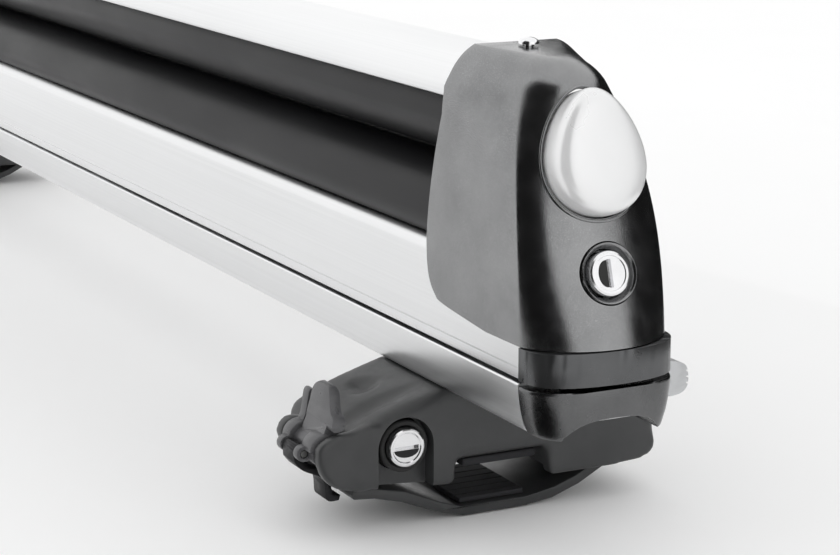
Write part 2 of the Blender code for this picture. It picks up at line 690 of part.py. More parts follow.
def build_button():
    """Domed push button with the stem that pushes the latch hook's tail."""
    profile = [(1, -5), (1, 0.6), (0.97, 2.4), (0.9, 3.9), (0.76, 5.1), (0.52, 5.9), (0.2, 6.2)]
    made = loft("push_button", [button_ring(scale, 0, out) for scale, out in profile], LIGHT_PLASTIC)
    join(made, rod("button_stem", face_point(BUTTON, -STEM_REACH), face_point(BUTTON, -3), 4, sides=20))
    smooth(made, 30)
    hang(pivot("button_axis", BUTTON), made)
    return made


def build_lock():
    """Face lock: collar in the housing, cylinder with a keyway, and the cam blade behind it."""
    collar = rod("lock_collar", face_point(LOCK, -7), face_point(LOCK, 0.3), 9, DARK_PLASTIC, 32)
    cut(collar, rod("lock_collar_bore", face_point(LOCK, -9), face_point(LOCK, 2.3), 7, sides=32))
    cylinder = rod("lock_cylinder", face_point(LOCK, -15), face_point(LOCK, 0.6), 6.6, CHROME, 32)
    cut(cylinder, leaning_box("keyway", LOCK, (-1.2, -0.9, -3.8), (4, 0.9, 3.8)))
    behind = face_point(LOCK, -16.4)
    blade = leaning_box("lock_cam", behind, (-1, -10, -3.5), (1, 3.5, 3.5), STEEL, bevel=0.3)
    hang(pivot("lock_axis", LOCK), cylinder, blade)


def build_latch():
    """Latch hook on its pin, held in a steel frame behind the button, with its spring."""
    frame_outline = mirrored([(9, 348), (9, 375.5), (10.6, 375.5), (10.6, 346)])
    frame = prism("latch_frame", "Z", [[(x, y) for y, x in frame_outline]], 87, 113, STEEL)
    x, _, z = LATCH_PIVOT
    cut(frame, rod("latch_frame_bore", (x, -15, z), (x, 15, z), PIN_RADIUS + PIN_CLEARANCE, sides=16))
    rod("latch_pin", (x, -11.4, z), (x, 11.4, z), PIN_RADIUS, STEEL, 16)
    outline = [(-4, 0), (-4.4, -7.4), (-5.1, -10.2), (-4.8, -12.4), (-2, -13.6), (1.4, -12.4), (4.2, -6),
               (4.8, 0), (5, 6), (5.2, 9), (5.2, 14), (2.4, 14.4), (0.4, 8), (-2.6, 4.4)]
    hook = prism("latch_hook", "Y", [[(x + a, z + b) for a, b in outline]], -5, 5, STEEL, bevel=0.4)
    cut(hook, rod("latch_hook_bore", (x, -10, z), (x, 10, z), PIN_RADIUS + PIN_CLEARANCE, sides=16))
    hang(pivot("latch_axis", (x, 0, z)), hook)
    coil("latch_spring", (348.9, 0, 103), (369.6, 0, 103), 3, 0.5, 5, STEEL)


def build_housing_screw():
    x, _, z = SCREW
    made = rod("housing_screw", (x, 0, z - 4.7), (x, 0, z + 1), 1.4, CHROME, 16)
    rings = [[(a, b, z + rise) for a, b in arc((x, 0), radius, 0, 337.5, 15)]
             for rise, radius in ((0.3, 3.1), (1.0, 3.0), (1.9, 2.3), (2.4, 1.2))]
    join(made, loft("screw_head", rings))
    return made


def main():
    build_base_rail()
    rail_cap("rail_front_cap", 1)
    rail_cap("rail_rear_cap", -1)
    build_release()
    build_foot("front", 1)
    build_foot("rear", -1)
    build_lower_arm()
    build_roll("lower_roll", LOWER_ARM_TOP + GAP, CREASE_Z - GAP)
    build_lower_front_cap()
    build_striker()
    build_glide_shoe("glide_shoe_front", 10, 70)
    build_glide_shoe("glide_shoe_rear", -360, -300)
    build_hinge_bracket()
    build_lift_link()
    build_upper_arm()
    build_roll("upper_roll", UPPER_ARM_BOTTOM - GAP, CREASE_Z + GAP)
    build_hinge_cap()
    build_housing()
    build_button()
    build_lock()
    build_latch()
    build_housing_screw()


clear_scene()
parts = make_collection(COLLECTION)
cutters = make_collection("cutters")
ALUMINIUM = finish("satin_aluminium", (0.80, 0.81, 0.82), 0.32, 1.0)
STEEL = finish("zinc_steel", (0.55, 0.56, 0.58), 0.35, 1.0)
BLACK_STEEL = finish("black_steel", (0.05, 0.05, 0.052), 0.4, 0.8)
CHROME = finish("lock_chrome", (0.82, 0.82, 0.83), 0.15, 1.0)
DARK_PLASTIC = finish("charcoal_plastic", (0.055, 0.057, 0.06), 0.55)
GREY_PLASTIC = finish("grey_plastic", (0.11, 0.112, 0.115), 0.5)
LIGHT_PLASTIC = finish("light_grey_plastic", (0.72, 0.73, 0.74), 0.22)
RUBBER = finish("black_rubber", (0.03, 0.03, 0.032), 0.6)
main()
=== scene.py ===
import json
import math

import bmesh
import bpy
from mathutils import Matrix, Vector


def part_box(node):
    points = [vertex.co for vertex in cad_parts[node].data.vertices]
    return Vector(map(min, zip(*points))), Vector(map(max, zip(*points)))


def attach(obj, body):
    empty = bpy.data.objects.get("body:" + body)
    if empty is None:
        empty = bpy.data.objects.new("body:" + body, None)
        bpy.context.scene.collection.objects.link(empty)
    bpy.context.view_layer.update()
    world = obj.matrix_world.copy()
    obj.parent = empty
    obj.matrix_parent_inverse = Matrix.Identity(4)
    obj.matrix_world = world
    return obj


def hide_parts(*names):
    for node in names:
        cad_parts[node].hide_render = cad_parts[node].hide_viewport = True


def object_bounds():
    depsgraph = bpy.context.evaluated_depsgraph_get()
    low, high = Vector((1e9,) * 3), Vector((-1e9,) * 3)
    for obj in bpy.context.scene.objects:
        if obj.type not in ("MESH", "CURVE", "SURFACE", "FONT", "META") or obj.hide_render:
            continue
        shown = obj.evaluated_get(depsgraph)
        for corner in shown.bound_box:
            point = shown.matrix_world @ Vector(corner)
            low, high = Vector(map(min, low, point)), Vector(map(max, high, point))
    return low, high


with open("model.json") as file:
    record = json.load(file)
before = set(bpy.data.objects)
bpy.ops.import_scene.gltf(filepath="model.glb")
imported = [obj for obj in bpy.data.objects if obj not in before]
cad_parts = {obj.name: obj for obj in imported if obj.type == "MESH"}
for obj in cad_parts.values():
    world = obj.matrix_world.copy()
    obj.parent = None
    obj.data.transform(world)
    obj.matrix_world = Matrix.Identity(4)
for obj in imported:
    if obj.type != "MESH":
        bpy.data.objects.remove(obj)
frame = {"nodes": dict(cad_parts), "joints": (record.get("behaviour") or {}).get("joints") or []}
CAD_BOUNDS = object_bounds()

# Looks of the slide-out roof ski rack.
#
# Shapes are written in millimetres, with X counted from the middle of the rail, and are moved to the
# frame by MIDDLE.  Places come from a CAD node's box, from a joint or from a few driving dimensions.

MM = 0.001


# ---------------------------------------------------------------- places from the frame

rail_low, rail_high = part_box("base_rail")
MIDDLE = Vector(((rail_low.x + rail_high.x) / 2, 0, 0))


class Span:
    """A CAD node's box in millimetres, X from the middle of the rail."""

    def __init__(self, node):
        low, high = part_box(node)
        self.low = (low - MIDDLE) / MM
        self.high = (high - MIDDLE) / MM
        self.mid = (self.low + self.high) / 2
        self.size = self.high - self.low


def joint_place(name):
    """A hinge's position in millimetres."""
    for joint in frame["joints"]:
        if joint["name"] == name:
            return (Vector(joint["pos_m"]) - MIDDLE) / MM


RAIL = Span("base_rail")
LOWER_ARM = Span("lower_arm")
UPPER_ARM = Span("upper_arm")
LOWER_ROLL = Span("lower_roll")
UPPER_ROLL = Span("upper_roll")
HOUSING = Span("latch_housing")
BAND = Span("lower_front_cap")
LOCK = joint_place("face_lock_turn")
BUTTON = Vector((HOUSING.high.x - 15.8, 0, HOUSING.low.z + 54))
FACE_LEAN = math.atan(0.30)      # the housing's front face leans back by this much
ARM_CROWN = (17, 9.4)            # width and height of the upper arm's rounded corners
WALL = 1.8                       # of both aluminium arms
NOTCH_Z = LOWER_ARM.low.z + 15   # the carriage arm is cut down to here under the housing
BAND_HEIGHT = 9.8


# ---------------------------------------------------------------- mesh helpers, all in millimetres

def object_from_bmesh(name, bm):
    bmesh.ops.translate(bm, vec=MIDDLE / MM, verts=bm.verts)
    bmesh.ops.scale(bm, vec=(MM, MM, MM), verts=bm.verts)
    bmesh.ops.recalc_face_normals(bm, faces=bm.faces)
    mesh = bpy.data.meshes.new(name)
    bm.to_mesh(mesh)
    bm.free()
    made = bpy.data.objects.new(name, mesh)
    bpy.context.scene.collection.objects.link(made)
    return made


def settle(piece):
    """Apply every modifier to the mesh."""
    bpy.context.view_layer.update()
    evaluated = piece.evaluated_get(bpy.context.evaluated_depsgraph_get())
    mesh = bpy.data.meshes.new_from_object(evaluated)
    old = piece.data
    piece.modifiers.clear()
    piece.data = mesh
    bpy.data.meshes.remove(old)
    return piece


def combine(piece, tools, operation):
    for tool in tools:
        modifier = piece.modifiers.new("boolean", "BOOLEAN")
        modifier.operation = operation
        modifier.object = tool
        settle(piece)
        bpy.data.objects.remove(tool, do_unlink=True)
    return piece


def cut(piece, *tools):
    return combine(piece, tools, "DIFFERENCE")


def join(piece, *tools):
    return combine(piece, tools, "UNION")


def soften(piece, width, segments=3, angle=30):
    """Round the edges and smooth the shading."""
    modifier = piece.modifiers.new("rounded", "BEVEL")
    modifier.width = width * MM
    modifier.segments = segments
    modifier.limit_method = "ANGLE"
    modifier.angle_limit = math.radians(angle)
    modifier.harden_normals = True
    piece.data.shade_smooth()
    return settle(piece)


def smooth(piece, angle=35):
    piece.data.shade_smooth()
    piece.data.set_sharp_from_angle(angle=math.radians(angle))
    return piece


def box(low, high, edge=0.0, name="block"):
    low = Vector(low)
    high = Vector(high)
    bm = bmesh.new()
    bmesh.ops.create_cube(bm, size=1.0)
    bmesh.ops.scale(bm, vec=high - low, verts=bm.verts)
    bmesh.ops.translate(bm, vec=(low + high) / 2, verts=bm.verts)
    made = object_from_bmesh(name, bm)
    return soften(made, edge) if edge else made


def spread(x_a, x_b, low, high):
    """Two corners of a block from two X values in any order and its (y, z) corners."""
    return (min(x_a, x_b), *low), (max(x_a, x_b), *high)


def turned(name, start, end, profile, sides=64):
    """A turned part: profile is a list of (distance from start, radius)."""
    start = Vector(start)
    along = (Vector(end) - start).normalized()
    turn = along.to_track_quat("Z", "Y")
    rings = []
    for distance, radius in profile:
        ring = []
        for i in range(sides):
            angle = 2 * math.pi * i / sides
            offset = Vector((radius * math.cos(angle), radius * math.sin(angle), distance))
            ring.append(start + turn @ offset)
        rings.append(ring)
    return loft(name, rings)


def rod(start, end, radius, edge=0.0, sides=48, name="rod"):
    length = (Vector(end) - Vector(start)).length
    if edge:
        profile = [(0, radius - edge), (edge * 0.3, radius - edge * 0.3), (edge, radius),
                   (length - edge, radius), (length - edge * 0.3, radius - edge * 0.3),
                   (length, radius - edge)]
    else:
        profile = [(0, radius), (length, radius)]
    return smooth(turned(name, start, end, profile, sides), 50)


def bar(x_a, x_b, axis, radius, edge=0.0):
    """A rod along X; axis is its (y, z)."""
    return rod((x_a, *axis), (x_b, *axis), radius, edge)


def loft(name, rings):
    """Join closed rings of equal length into one body, capped at both ends."""
    bm = bmesh.new()
    rows = [[bm.verts.new(point) for point in ring] for ring in rings]
    count = len(rows[0])
    for lower, upper in zip(rows, rows[1:]):
        for i in range(count):
            j = (i + 1) % count
            bm.faces.new((lower[i], lower[j], upper[j], upper[i]))
    bm.faces.new(rows[0])
    bm.faces.new(rows[-1])
    return object_from_bmesh(name, bm)


def prism(name, axis, outlines, low, high):
    """Extrude outlines along an axis; outlines after the first are holes.

    Outlines are (y, z) for axis X, (x, z) for axis Y and (x, y) for axis Z.
    """
    curve = bpy.data.curves.new(name, "CURVE")
    curve.dimensions = "2D"
    curve.fill_mode = "BOTH"
    curve.extrude = (high - low) / 2
    for outline in outlines:
        spline = curve.splines.new("POLY")
        spline.points.add(len(outline) - 1)
        for point, (a, b) in zip(spline.points, outline):
            point.co = (b, a, 0, 1) if axis == "Y" else (a, b, 0, 1)
        spline.use_cyclic_u = True
    drawn = bpy.data.objects.new(name + "_outline", curve)
    bpy.context.scene.collection.objects.link(drawn)
    middle = (low + high) / 2
    if axis == "X":
        place = Matrix(((0, 0, 1, middle), (1, 0, 0, 0), (0, 1, 0, 0), (0, 0, 0, 1)))
    elif axis == "Y":
        place = Matrix(((0, 1, 0, 0), (0, 0, 1, middle), (1, 0, 0, 0), (0, 0, 0, 1)))
    else:
        place = Matrix.Translation((0, 0, middle))
    bpy.context.view_layer.update()
    evaluated = drawn.evaluated_get(bpy.context.evaluated_depsgraph_get())
    mesh = bpy.data.meshes.new_from_object(evaluated)
    bm = bmesh.new()
    bm.from_mesh(mesh)
    bm.transform(place)
    bmesh.ops.remove_doubles(bm, verts=bm.verts, dist=1e-3)
    bpy.data.objects.remove(drawn, do_unlink=True)
    bpy.data.meshes.remove(mesh)
    return object_from_bmesh(name, bm)


def arc(centre, radius, first, last, steps):
    """Points on an arc, angles in degrees."""
    points = []
    for i in range(steps + 1):
        angle = math.radians(first + (last - first) * i / steps)
        points.append((centre[0] + radius * math.cos(angle), centre[1] + radius * math.sin(angle)))
    return points


def flowing(points, steps=6):
    """A closed smooth outline through points (Catmull-Rom)."""
    count = len(points)
    made = []
    for i in range(count):
        p0, p1, p2, p3 = (Vector(points[(i + k - 1) % count]) for k in range(4))
        for k in range(steps):
            t = k / steps
            made.append(tuple(0.5 * (2 * p1 + (p2 - p0) * t + (2 * p0 - 5 * p1 + 4 * p2 - p3) * t * t
                                     + (3 * p1 - p0 - 3 * p2 + p3) * t ** 3)))
    return made


def flowing_line(points, steps=6):
    """An open smooth line through points (Catmull-Rom)."""
    padded = [points[0]] + list(points) + [points[-1]]
    made = []
    for i in range(1, len(padded) - 2):
        p0, p1, p2, p3 = (Vector(padded[i + k - 1]) for k in range(4))
        for k in range(steps):
            t = k / steps
            made.append(tuple(0.5 * (2 * p1 + (p2 - p0) * t + (2 * p0 - 5 * p1 + 4 * p2 - p3) * t * t
                                     + (3 * p1 - p0 - 3 * p2 + p3) * t ** 3)))
    return made + [tuple(points[-1])]


def mirrored(half):
    """A closed outline from its right half; a point on the centre line is kept once."""
    return half + [(-a, b) for a, b in reversed(half) if a > 0]


def face_point(centre, out, up=0.0):
    """A point at a distance out of, and up along, the leaning front face."""
    lean_c = math.cos(FACE_LEAN)
    lean_s = math.sin(FACE_LEAN)
    x, y, z = centre
    return Vector((x + out * lean_c - up * lean_s, y, z + out * lean_s + up * lean_c))


def tube_path(name, points, radius, cyclic=False):
    """A round bead along points."""
    curve = bpy.data.curves.new(name, "CURVE")
    curve.dimensions = "3D"
    curve.bevel_depth = radius
    curve.bevel_resolution = 4
    curve.use_fill_caps = not cyclic
    spline = curve.splines.new("POLY")
    spline.points.add(len(points) - 1)
    for point, place in zip(spline.points, points):
        point.co = (*place, 1)
    spline.use_cyclic_u = cyclic
    drawn = bpy.data.objects.new(name + "_path", curve)
    bpy.context.scene.collection.objects.link(drawn)
    bpy.context.view_layer.update()
    evaluated = drawn.evaluated_get(bpy.context.evaluated_depsgraph_get())
    mesh = bpy.data.meshes.new_from_object(evaluated)
    bm = bmesh.new()
    bm.from_mesh(mesh)
    bpy.data.objects.remove(drawn, do_unlink=True)
    bpy.data.meshes.remove(mesh)
    return smooth(object_from_bmesh(name, bm), 60)


# ---------------------------------------------------------------- materials

class Recipe:
    """A Principled material with short ways to add procedural detail."""

    def __init__(self, name, roughness=0.5, metallic=0.0):
        self.material = bpy.data.materials.new(name)
        self.material.use_nodes = True
        self.tree = self.material.node_tree
        self.shader = self.tree.nodes["Principled BSDF"]
        self.shader.inputs["Roughness"].default_value = roughness
        self.shader.inputs["Metallic"].default_value = metallic
        self.place = self.tree.nodes.new("ShaderNodeTexCoord").outputs["Object"]

    def node(self, kind, **settings):
        made = self.tree.nodes.new(kind)
        for key, value in settings.items():
            if key in made.inputs:
                made.inputs[key].default_value = value
            else:
                setattr(made, key, value)
        return made

    def link(self, source, target):
        self.tree.links.new(source, target)

    def stretched(self, scale):
        mapping = self.node("ShaderNodeMapping")
        mapping.inputs["Scale"].default_value = scale
        self.link(self.place, mapping.inputs["Vector"])
        return mapping.outputs["Vector"]

    def noise(self, scale, detail=3.0, rough=0.6, stretch=(1, 1, 1)):
        made = self.node("ShaderNodeTexNoise", Scale=scale, Detail=detail, Roughness=rough)
        self.link(self.stretched(stretch), made.inputs["Vector"])
        return made.outputs["Fac"]

    def ramp(self, value, low, high, from_low=0.3, from_high=0.7):
        made = self.node("ShaderNodeMapRange")
        made.inputs["From Min"].default_value = from_low
        made.inputs["From Max"].default_value = from_high
        made.inputs["To Min"].default_value = low
        made.inputs["To Max"].default_value = high
        self.link(value, made.inputs["Value"])
        return made.outputs["Result"]

    def mix(self, factor, first, second):
        """A colour between two; each is a colour or a socket."""
        made = self.node("ShaderNodeMix", data_type="RGBA")
        self.link(factor, made.inputs[0])
        for socket, value in ((made.inputs[6], first), (made.inputs[7], second)):
            if isinstance(value, tuple):
                socket.default_value = (*value, 1)
            else:
                self.link(value, socket)
        return made.outputs[2]

    def rubbed_and_highlit_edges(self, colour, bright):
        """Lighten the colour at edges, where a rounded normal departs from the true one: rubbed wear
        together with a painted rim highlight.
        """
        rounded = self.node("ShaderNodeBevel", samples=4, Radius=0.0005)
        true = self.node("ShaderNodeNewGeometry").outputs["Normal"]
        turn = self.node("ShaderNodeVectorMath", operation="DOT_PRODUCT")
        self.link(rounded.outputs["Normal"], turn.inputs[0])
        self.link(true, turn.inputs[1])
        return self.mix(self.ramp(turn.outputs["Value"], 0.3, 0, 0.8, 0.98), colour, bright)

    def colour(self, socket):
        self.link(socket, self.shader.inputs["Base Color"])

    def rough(self, socket):
        self.link(socket, self.shader.inputs["Roughness"])

    def bump(self, *layers):
        """Each layer is (height socket, strength, distance in metres)."""
        normal = None
        for height, strength, distance in layers:
            made = self.node("ShaderNodeBump", Strength=strength, Distance=distance)
            self.link(height, made.inputs["Height"])
            if normal:
                self.link(normal, made.inputs["Normal"])
            normal = made.outputs["Normal"]
        self.link(normal, self.shader.inputs["Normal"])


def moulded_plastic(name, dark, light, roughness, metallic=0.0, flake=0.0):
    """Moulded plastic with fine spark-eroded grain, faint flow marks, and rubbed edges lightened with a
    painted rim highlight.
    """
    made = Recipe(name, roughness, metallic)
    grain = made.noise(2600, 2.0)
    mottle = made.noise(45, 4.0)
    body = made.mix(made.ramp(mottle, 0, 1), dark, light)
    bright = tuple(min(1.0, c * 1.7 + 0.02) for c in light)
    if flake:
        speck = made.noise(4200, 1.0)
        body = made.mix(made.ramp(speck, 0, flake, 0.56, 0.74), body, bright)
    # edges lightened: rubbed wear and a painted rim highlight
    made.colour(made.rubbed_and_highlit_edges(body, bright))
    made.rough(made.ramp(made.noise(160, 3.0), roughness - 0.05, roughness + 0.07))
    made.bump((grain, 0.25, 0.00012), (mottle, 0.06, 0.0004))
    return made.material


def drawn_aluminium(name, shade, roughness):
    """Anodised extrusion: hair-fine draw lines along X, a faint haze and small pits."""
    made = Recipe(name, roughness, 1.0)
    lines = made.noise(1500, 3.0, 0.7, (0.002, 1, 1))
    haze = made.noise(22, 3.0, 0.6, (0.25, 1, 1))
    dark = tuple(c * 0.95 for c in shade)
    made.colour(made.mix(made.ramp(lines, 0, 1), dark, shade))
    made.rough(made.ramp(haze, roughness - 0.05, roughness + 0.06))
    made.bump((lines, 0.06, 0.00004), (made.noise(700, 2.0), 0.05, 0.00005))
    made.shader.inputs["Anisotropic"].default_value = 0.4
    return made.material


def plated_metal(name, shade, roughness, mottling=0.25):
    """Zinc or chrome plate: faint mottling, polishing marks and brighter edges, partly rubbed wear and
    partly a painted highlight.
    """
    made = Recipe(name, roughness, 1.0)
    mottle = made.noise(120, 4.0)
    dark = tuple(c * (1 - mottling) for c in shade)
    bright = tuple(min(1.0, c * 1.15) for c in shade)
    body = made.mix(made.ramp(mottle, 0, 1), dark, shade)
    # edges lightened: rubbed wear and a painted highlight
    made.colour(made.rubbed_and_highlit_edges(body, bright))
    marks = made.noise(600, 2.0, 0.6, (1, 0.08, 1))
    made.rough(made.ramp(marks, roughness - 0.04, roughness + 0.08))
    made.bump((marks, 0.06, 0.00005))
    return made.material


def soft_rubber(name, shade, roughness):
    """Extruded rubber: fine lines along its length, bloom in patches, a dusty grain."""
    made = Recipe(name, roughness)
    lines = made.noise(420, 3.0, 0.6, (0.006, 1, 1))
    bloom = made.noise(30, 4.0, 0.6, (0.3, 1, 1))
    light = tuple(c * 1.35 + 0.004 for c in shade)
    made.colour(made.mix(made.ramp(bloom, 0, 1), shade, light))
    made.rough(made.ramp(bloom, roughness - 0.06, roughness + 0.08))
    made.bump((lines, 0.14, 0.0002), (made.noise(1800, 2.0), 0.12, 0.00008))
    made.shader.inputs["Specular IOR Level"].default_value = 0.16
    return made.material


def gloss_plastic(name, shade, roughness, through=0.0, metallic=0.0):
    """Glossy light plastic: a little light goes in, slight orange peel and faint finger marks."""
    made = Recipe(name, roughness, metallic)
    peel = made.noise(260, 2.0)
    marks = made.noise(38, 4.0)
    dark = tuple(c * 0.95 for c in shade)
    made.colour(made.mix(made.ramp(marks, 0, 1), dark, shade))
    made.rough(made.ramp(marks, roughness - 0.04, roughness + 0.08))
    made.bump((peel, 0.05, 0.0002))
    made.shader.inputs["Subsurface Weight"].default_value = 0.25
    made.shader.inputs["Subsurface Radius"].default_value = (0.004, 0.004, 0.004)
    made.shader.inputs["Transmission Weight"].default_value = through
    made.shader.inputs["Coat Weight"].default_value = 0.3
    made.shader.inputs["Coat Roughness"].default_value = 0.08
    return made.material


HOUSING_PLASTIC = moulded_plastic("housing_plastic", (0.22, 0.222, 0.225), (0.28, 0.282, 0.285),
                                  0.2, 1.0, 0.4)
CAP_PLASTIC = moulded_plastic("cap_plastic", (0.11, 0.111, 0.113), (0.15, 0.151, 0.153), 0.24, 1.0, 0.3)
BAND_PLASTIC = moulded_plastic("band_plastic", (0.10, 0.102, 0.105), (0.13, 0.132, 0.135), 0.3, 0.9)
FOOT_PLASTIC = moulded_plastic("foot_plastic", (0.03, 0.031, 0.032), (0.045, 0.046, 0.047), 0.36, 0.1)
LEVER_PLASTIC = moulded_plastic("lever_plastic", (0.06, 0.06, 0.063), (0.09, 0.09, 0.094), 0.3, 0.1)
ALUMINIUM = drawn_aluminium("anodised_aluminium", (0.86, 0.865, 0.87), 0.36)
ZINC = plated_metal("zinc_plate", (0.58, 0.58, 0.56), 0.35)
BLACKENED_STEEL = plated_metal("blackened_steel", (0.045, 0.045, 0.047), 0.42)
CHROME = plated_metal("polished_chrome", (0.86, 0.86, 0.87), 0.16, 0.08)
ROLL_RUBBER = soft_rubber("roll_rubber", (0.008, 0.008, 0.009), 0.36)
PAD_RUBBER = soft_rubber("pad_rubber", (0.022, 0.022, 0.024), 0.7)
BUTTON_PLASTIC = gloss_plastic("button_plastic", (0.82, 0.822, 0.825), 0.3, metallic=0.35)
RELEASE_PLASTIC = gloss_plastic("release_plastic", (0.72, 0.73, 0.74), 0.3, 0.35)
# near-black colour standing in for shade: painted shadow on the lock's half-moon and on the foot lock's
# sleeve
SHADOW_GAP = moulded_plastic("painted_shadow_recess", (0.012, 0.012, 0.012), (0.02, 0.02, 0.02), 0.7)


def show(piece, name, body, material, slot, *nodes):
    """Name a finished piece, give it its material and hand it to the frame."""
    piece.name = name
    piece.data.materials.clear()
    piece.data.materials.append(material)
    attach(piece, body)
    if nodes:
        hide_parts(*nodes)
    return piece


# ---------------------------------------------------------------- extrusions

def build_rail():
    """Channel with a swelling side and inward lips."""
    low = RAIL.low.z
    high = RAIL.high.z
    half = RAIL.high.y
    side = flowing_line([(half - 3.4, low), (half - 2.2, low + 1.6), (half - 1.0, low + 6),
                         (half - 0.3, low + 11), (half, high - 0.4)], 5)
    lip = [(half - 0.4, high), (10, high), (10, high - 2), (half - 2, high - 2)]
    inside = [(half - 2.6, low + 9), (half - 3.6, low + 4), (half - 4.8, low + 2.2)]
    made = prism("rail", "X", [mirrored(side + lip + inside)], RAIL.low.x, RAIL.high.x)
    tab = Span("slide_release_button")
    cut(made, box((tab.low.x - 2, 7, low + 2.6), (tab.high.x + 2, 27, high + 2.3)))
    soften(made, 0.25, 2, 40)
    show(made, "rail_extrusion", "base", ALUMINIUM, "satin_aluminium", "base_rail")


def arm_outline(bottom, top, corner, half):
    """Rounded foot and crown of an arm's +Y side; corner is the crown's (width, height)."""
    wide, high = corner
    crown = [(half - wide + wide * c, top - high + high * s) for c, s in arc((0, 0), 1, 0, 90, 16)]
    foot = [(half - 0.8 + 0.8 * c, bottom + 0.8 + 0.8 * s) for c, s in arc((0, 0), 1, -90, 0, 5)]
    return foot, crown


def build_lower_arm():
    """Box section with a drip groove near its foot; notched for the housing at its front."""
    low = LOWER_ARM.low
    high = LOWER_ARM.high
    foot, crown = arm_outline(low.z, high.z, (4, 4), high.y)
    groove = [(high.y, low.z + 3.2), (high.y - 0.5, low.z + 3.5), (high.y - 0.5, low.z + 4.1),
              (high.y, low.z + 4.4)]
    inner = mirrored([(high.y - WALL, low.z + WALL)] + arc((high.y - 4, high.z - 4), 2.2, 0, 90, 6))
    made = prism("arm", "X", [mirrored(foot + groove + crown), inner], low.x, high.x)
    cut(made, box((high.x - 40, -30, NOTCH_Z), (high.x + 5, 30, 80)),
        box((high.x - 14, -30, BAND.low.z + BAND_HEIGHT - 0.1), (high.x + 5, 30, 60)))
    smooth(made, 30)
    show(made, "carriage_arm_extrusion", "carriage", ALUMINIUM, "satin_aluminium", "lower_arm")


def build_upper_arm():
    """Crowned hollow section."""
    low = UPPER_ARM.low
    high = UPPER_ARM.high
    foot, crown = arm_outline(low.z, high.z, ARM_CROWN, high.y)
    inner_crown = (ARM_CROWN[0] - WALL, ARM_CROWN[1] - 3.4)
    foot_in, crown_in = arm_outline(low.z + WALL, high.z - WALL, inner_crown, high.y - WALL)
    made = prism("arm", "X", [mirrored(foot + crown), mirrored(foot_in + crown_in)], low.x, high.x)
    smooth(made, 30)
    show(made, "upper_arm_extrusion", "upper_jaw", ALUMINIUM, "satin_aluminium", "upper_arm")


def build_roll(name, node, span, base, crease, body):
    """Hollow D-section rubber roll with a keyed foot and softly closed ends."""
    height = crease - base
    half = span.high.y

    def section(shrink):
        points = [(half - 2.8 - shrink, base + math.copysign(shrink * 0.6, height)),
                  (half - 0.7 - shrink, base + 0.15 * height)]
        for c, s in arc((0, 0), 1, 8, 80, 18):
            points.append(((half - shrink) * c, base + (height - math.copysign(shrink, height))
                           * (0.2 + 0.8 * s)))
        return mirrored(points)

    made = prism("roll", "X", [section(0), section(2.4)], span.low.x, span.high.x)
    soften(made, 0.8, 3, 50)
    show(made, name, body, ROLL_RUBBER, "black_rubber", node)


# ---------------------------------------------------------------- latch housing

HOUSING_WALL = 1.3
SKIRT_WALL = 0.75
SKIRT_TOP = HOUSING.low.z + 7.2
HOUSING_HALF_W = 24.8
HOUSING_TOP = HOUSING.low.z + 79.9
SHOULDER_Z = HOUSING_TOP - 18.7  # the sides close in above here
SHOULDER = (20, 16.8)            # height and width of their quarter ellipse
HOUSING_BACK_TOP = HOUSING.low.x + 10.4
ARM_MOUTH = HOUSING_BACK_TOP + 2.5    # the upper arm's end reaches this far in
DOME_HEIGHT = 7.5                # the top rounds off over this height
DOME_DRAW = (11.7, 7.6)          # and draws in by this much at the front and at the sides
NOSE_DEPTH = 16.2                # of the rounded nose, at its foot
NOSE_RETREAT = 25                # how much further back the nose starts at the top
NOSE_TAPER = 12.7                # and how much narrower it is there
TOP_SLOPE = 0.07
FACE_BOW = 9                     # the front face bows back above its middle
NOSE_HALF_W = 24.2
NOSE_ARC = math.radians(82)      # less than a right angle leaves a crisper corner


def crown_half_width(z):
    """Half-width of the upper arm at height z."""
    wide, tall = ARM_CROWN
    rise = min(1.0, max(0.0, (z - UPPER_ARM.high.z + tall) / tall))
    return UPPER_ARM.high.y - wide + wide * math.sqrt(1 - rise * rise)


def shoulder_half_width(z):
    """Half-width of the housing's back at height z."""
    tall, wide = SHOULDER
    rise = min(1.0, max(0.0, (z - SHOULDER_Z) / tall))
    return HOUSING_HALF_W - wide * (1 - math.sqrt(1 - rise * rise))


def housing_ring(z, inset=0.0, back=None):
    """One plan section of the housing: straight sides that turn into an elliptical nose."""
    bottom = HOUSING.low.z
    level = max(0.0, (z - bottom) / (HOUSING_TOP - bottom))
    dome = min(1.0, max(0.0, (z - HOUSING_TOP + DOME_HEIGHT) / (DOME_HEIGHT - inset)))
    drawn = 1 - math.sqrt(1 - dome * dome)
    lean = math.tan(FACE_LEAN) * (z - bottom)
    bow = FACE_BOW * max(0.0, level - 0.55) ** 2
    front = HOUSING.high.x - 1.2 * inset - lean - bow - DOME_DRAW[0] * drawn
    nose_start = HOUSING.high.x - NOSE_DEPTH - NOSE_RETREAT * level ** 2.3 - inset
    nose_half = NOSE_HALF_W - NOSE_TAPER * level ** 2.8 - inset - DOME_DRAW[1] * drawn
    if back is None:
        back = min(HOUSING.low.x + 15.5 * (max(0.0, z - 70) / 55) ** 1.7, HOUSING_BACK_TOP)
    mouth = max(back, ARM_MOUTH)
    back_half = max(shoulder_half_width(z), crown_half_width(z) + 1.2) - inset
    side = []
    for i in range(1, 6):
        share = i / 6
        side.append((mouth + (nose_start - mouth) * share, back_half - (back_half - nose_half) * share))
    points = [(back, -back_half), (mouth, -back_half)] + [(x, -y) for x, y in side]
    steps = 44
    for i in range(steps + 1):
        angle = NOSE_ARC * (2 * i / steps - 1)
        depth = (math.cos(angle) - math.cos(NOSE_ARC)) / (1 - math.cos(NOSE_ARC))
        across = math.sin(angle) / math.sin(NOSE_ARC)
        points.append((nose_start + (front - nose_start) * depth, nose_half * across))
    points += side[::-1] + [(mouth, back_half), (back, back_half)]
    return [(x, y, z - TOP_SLOPE * (x - 358) * level ** 3) for x, y in points]


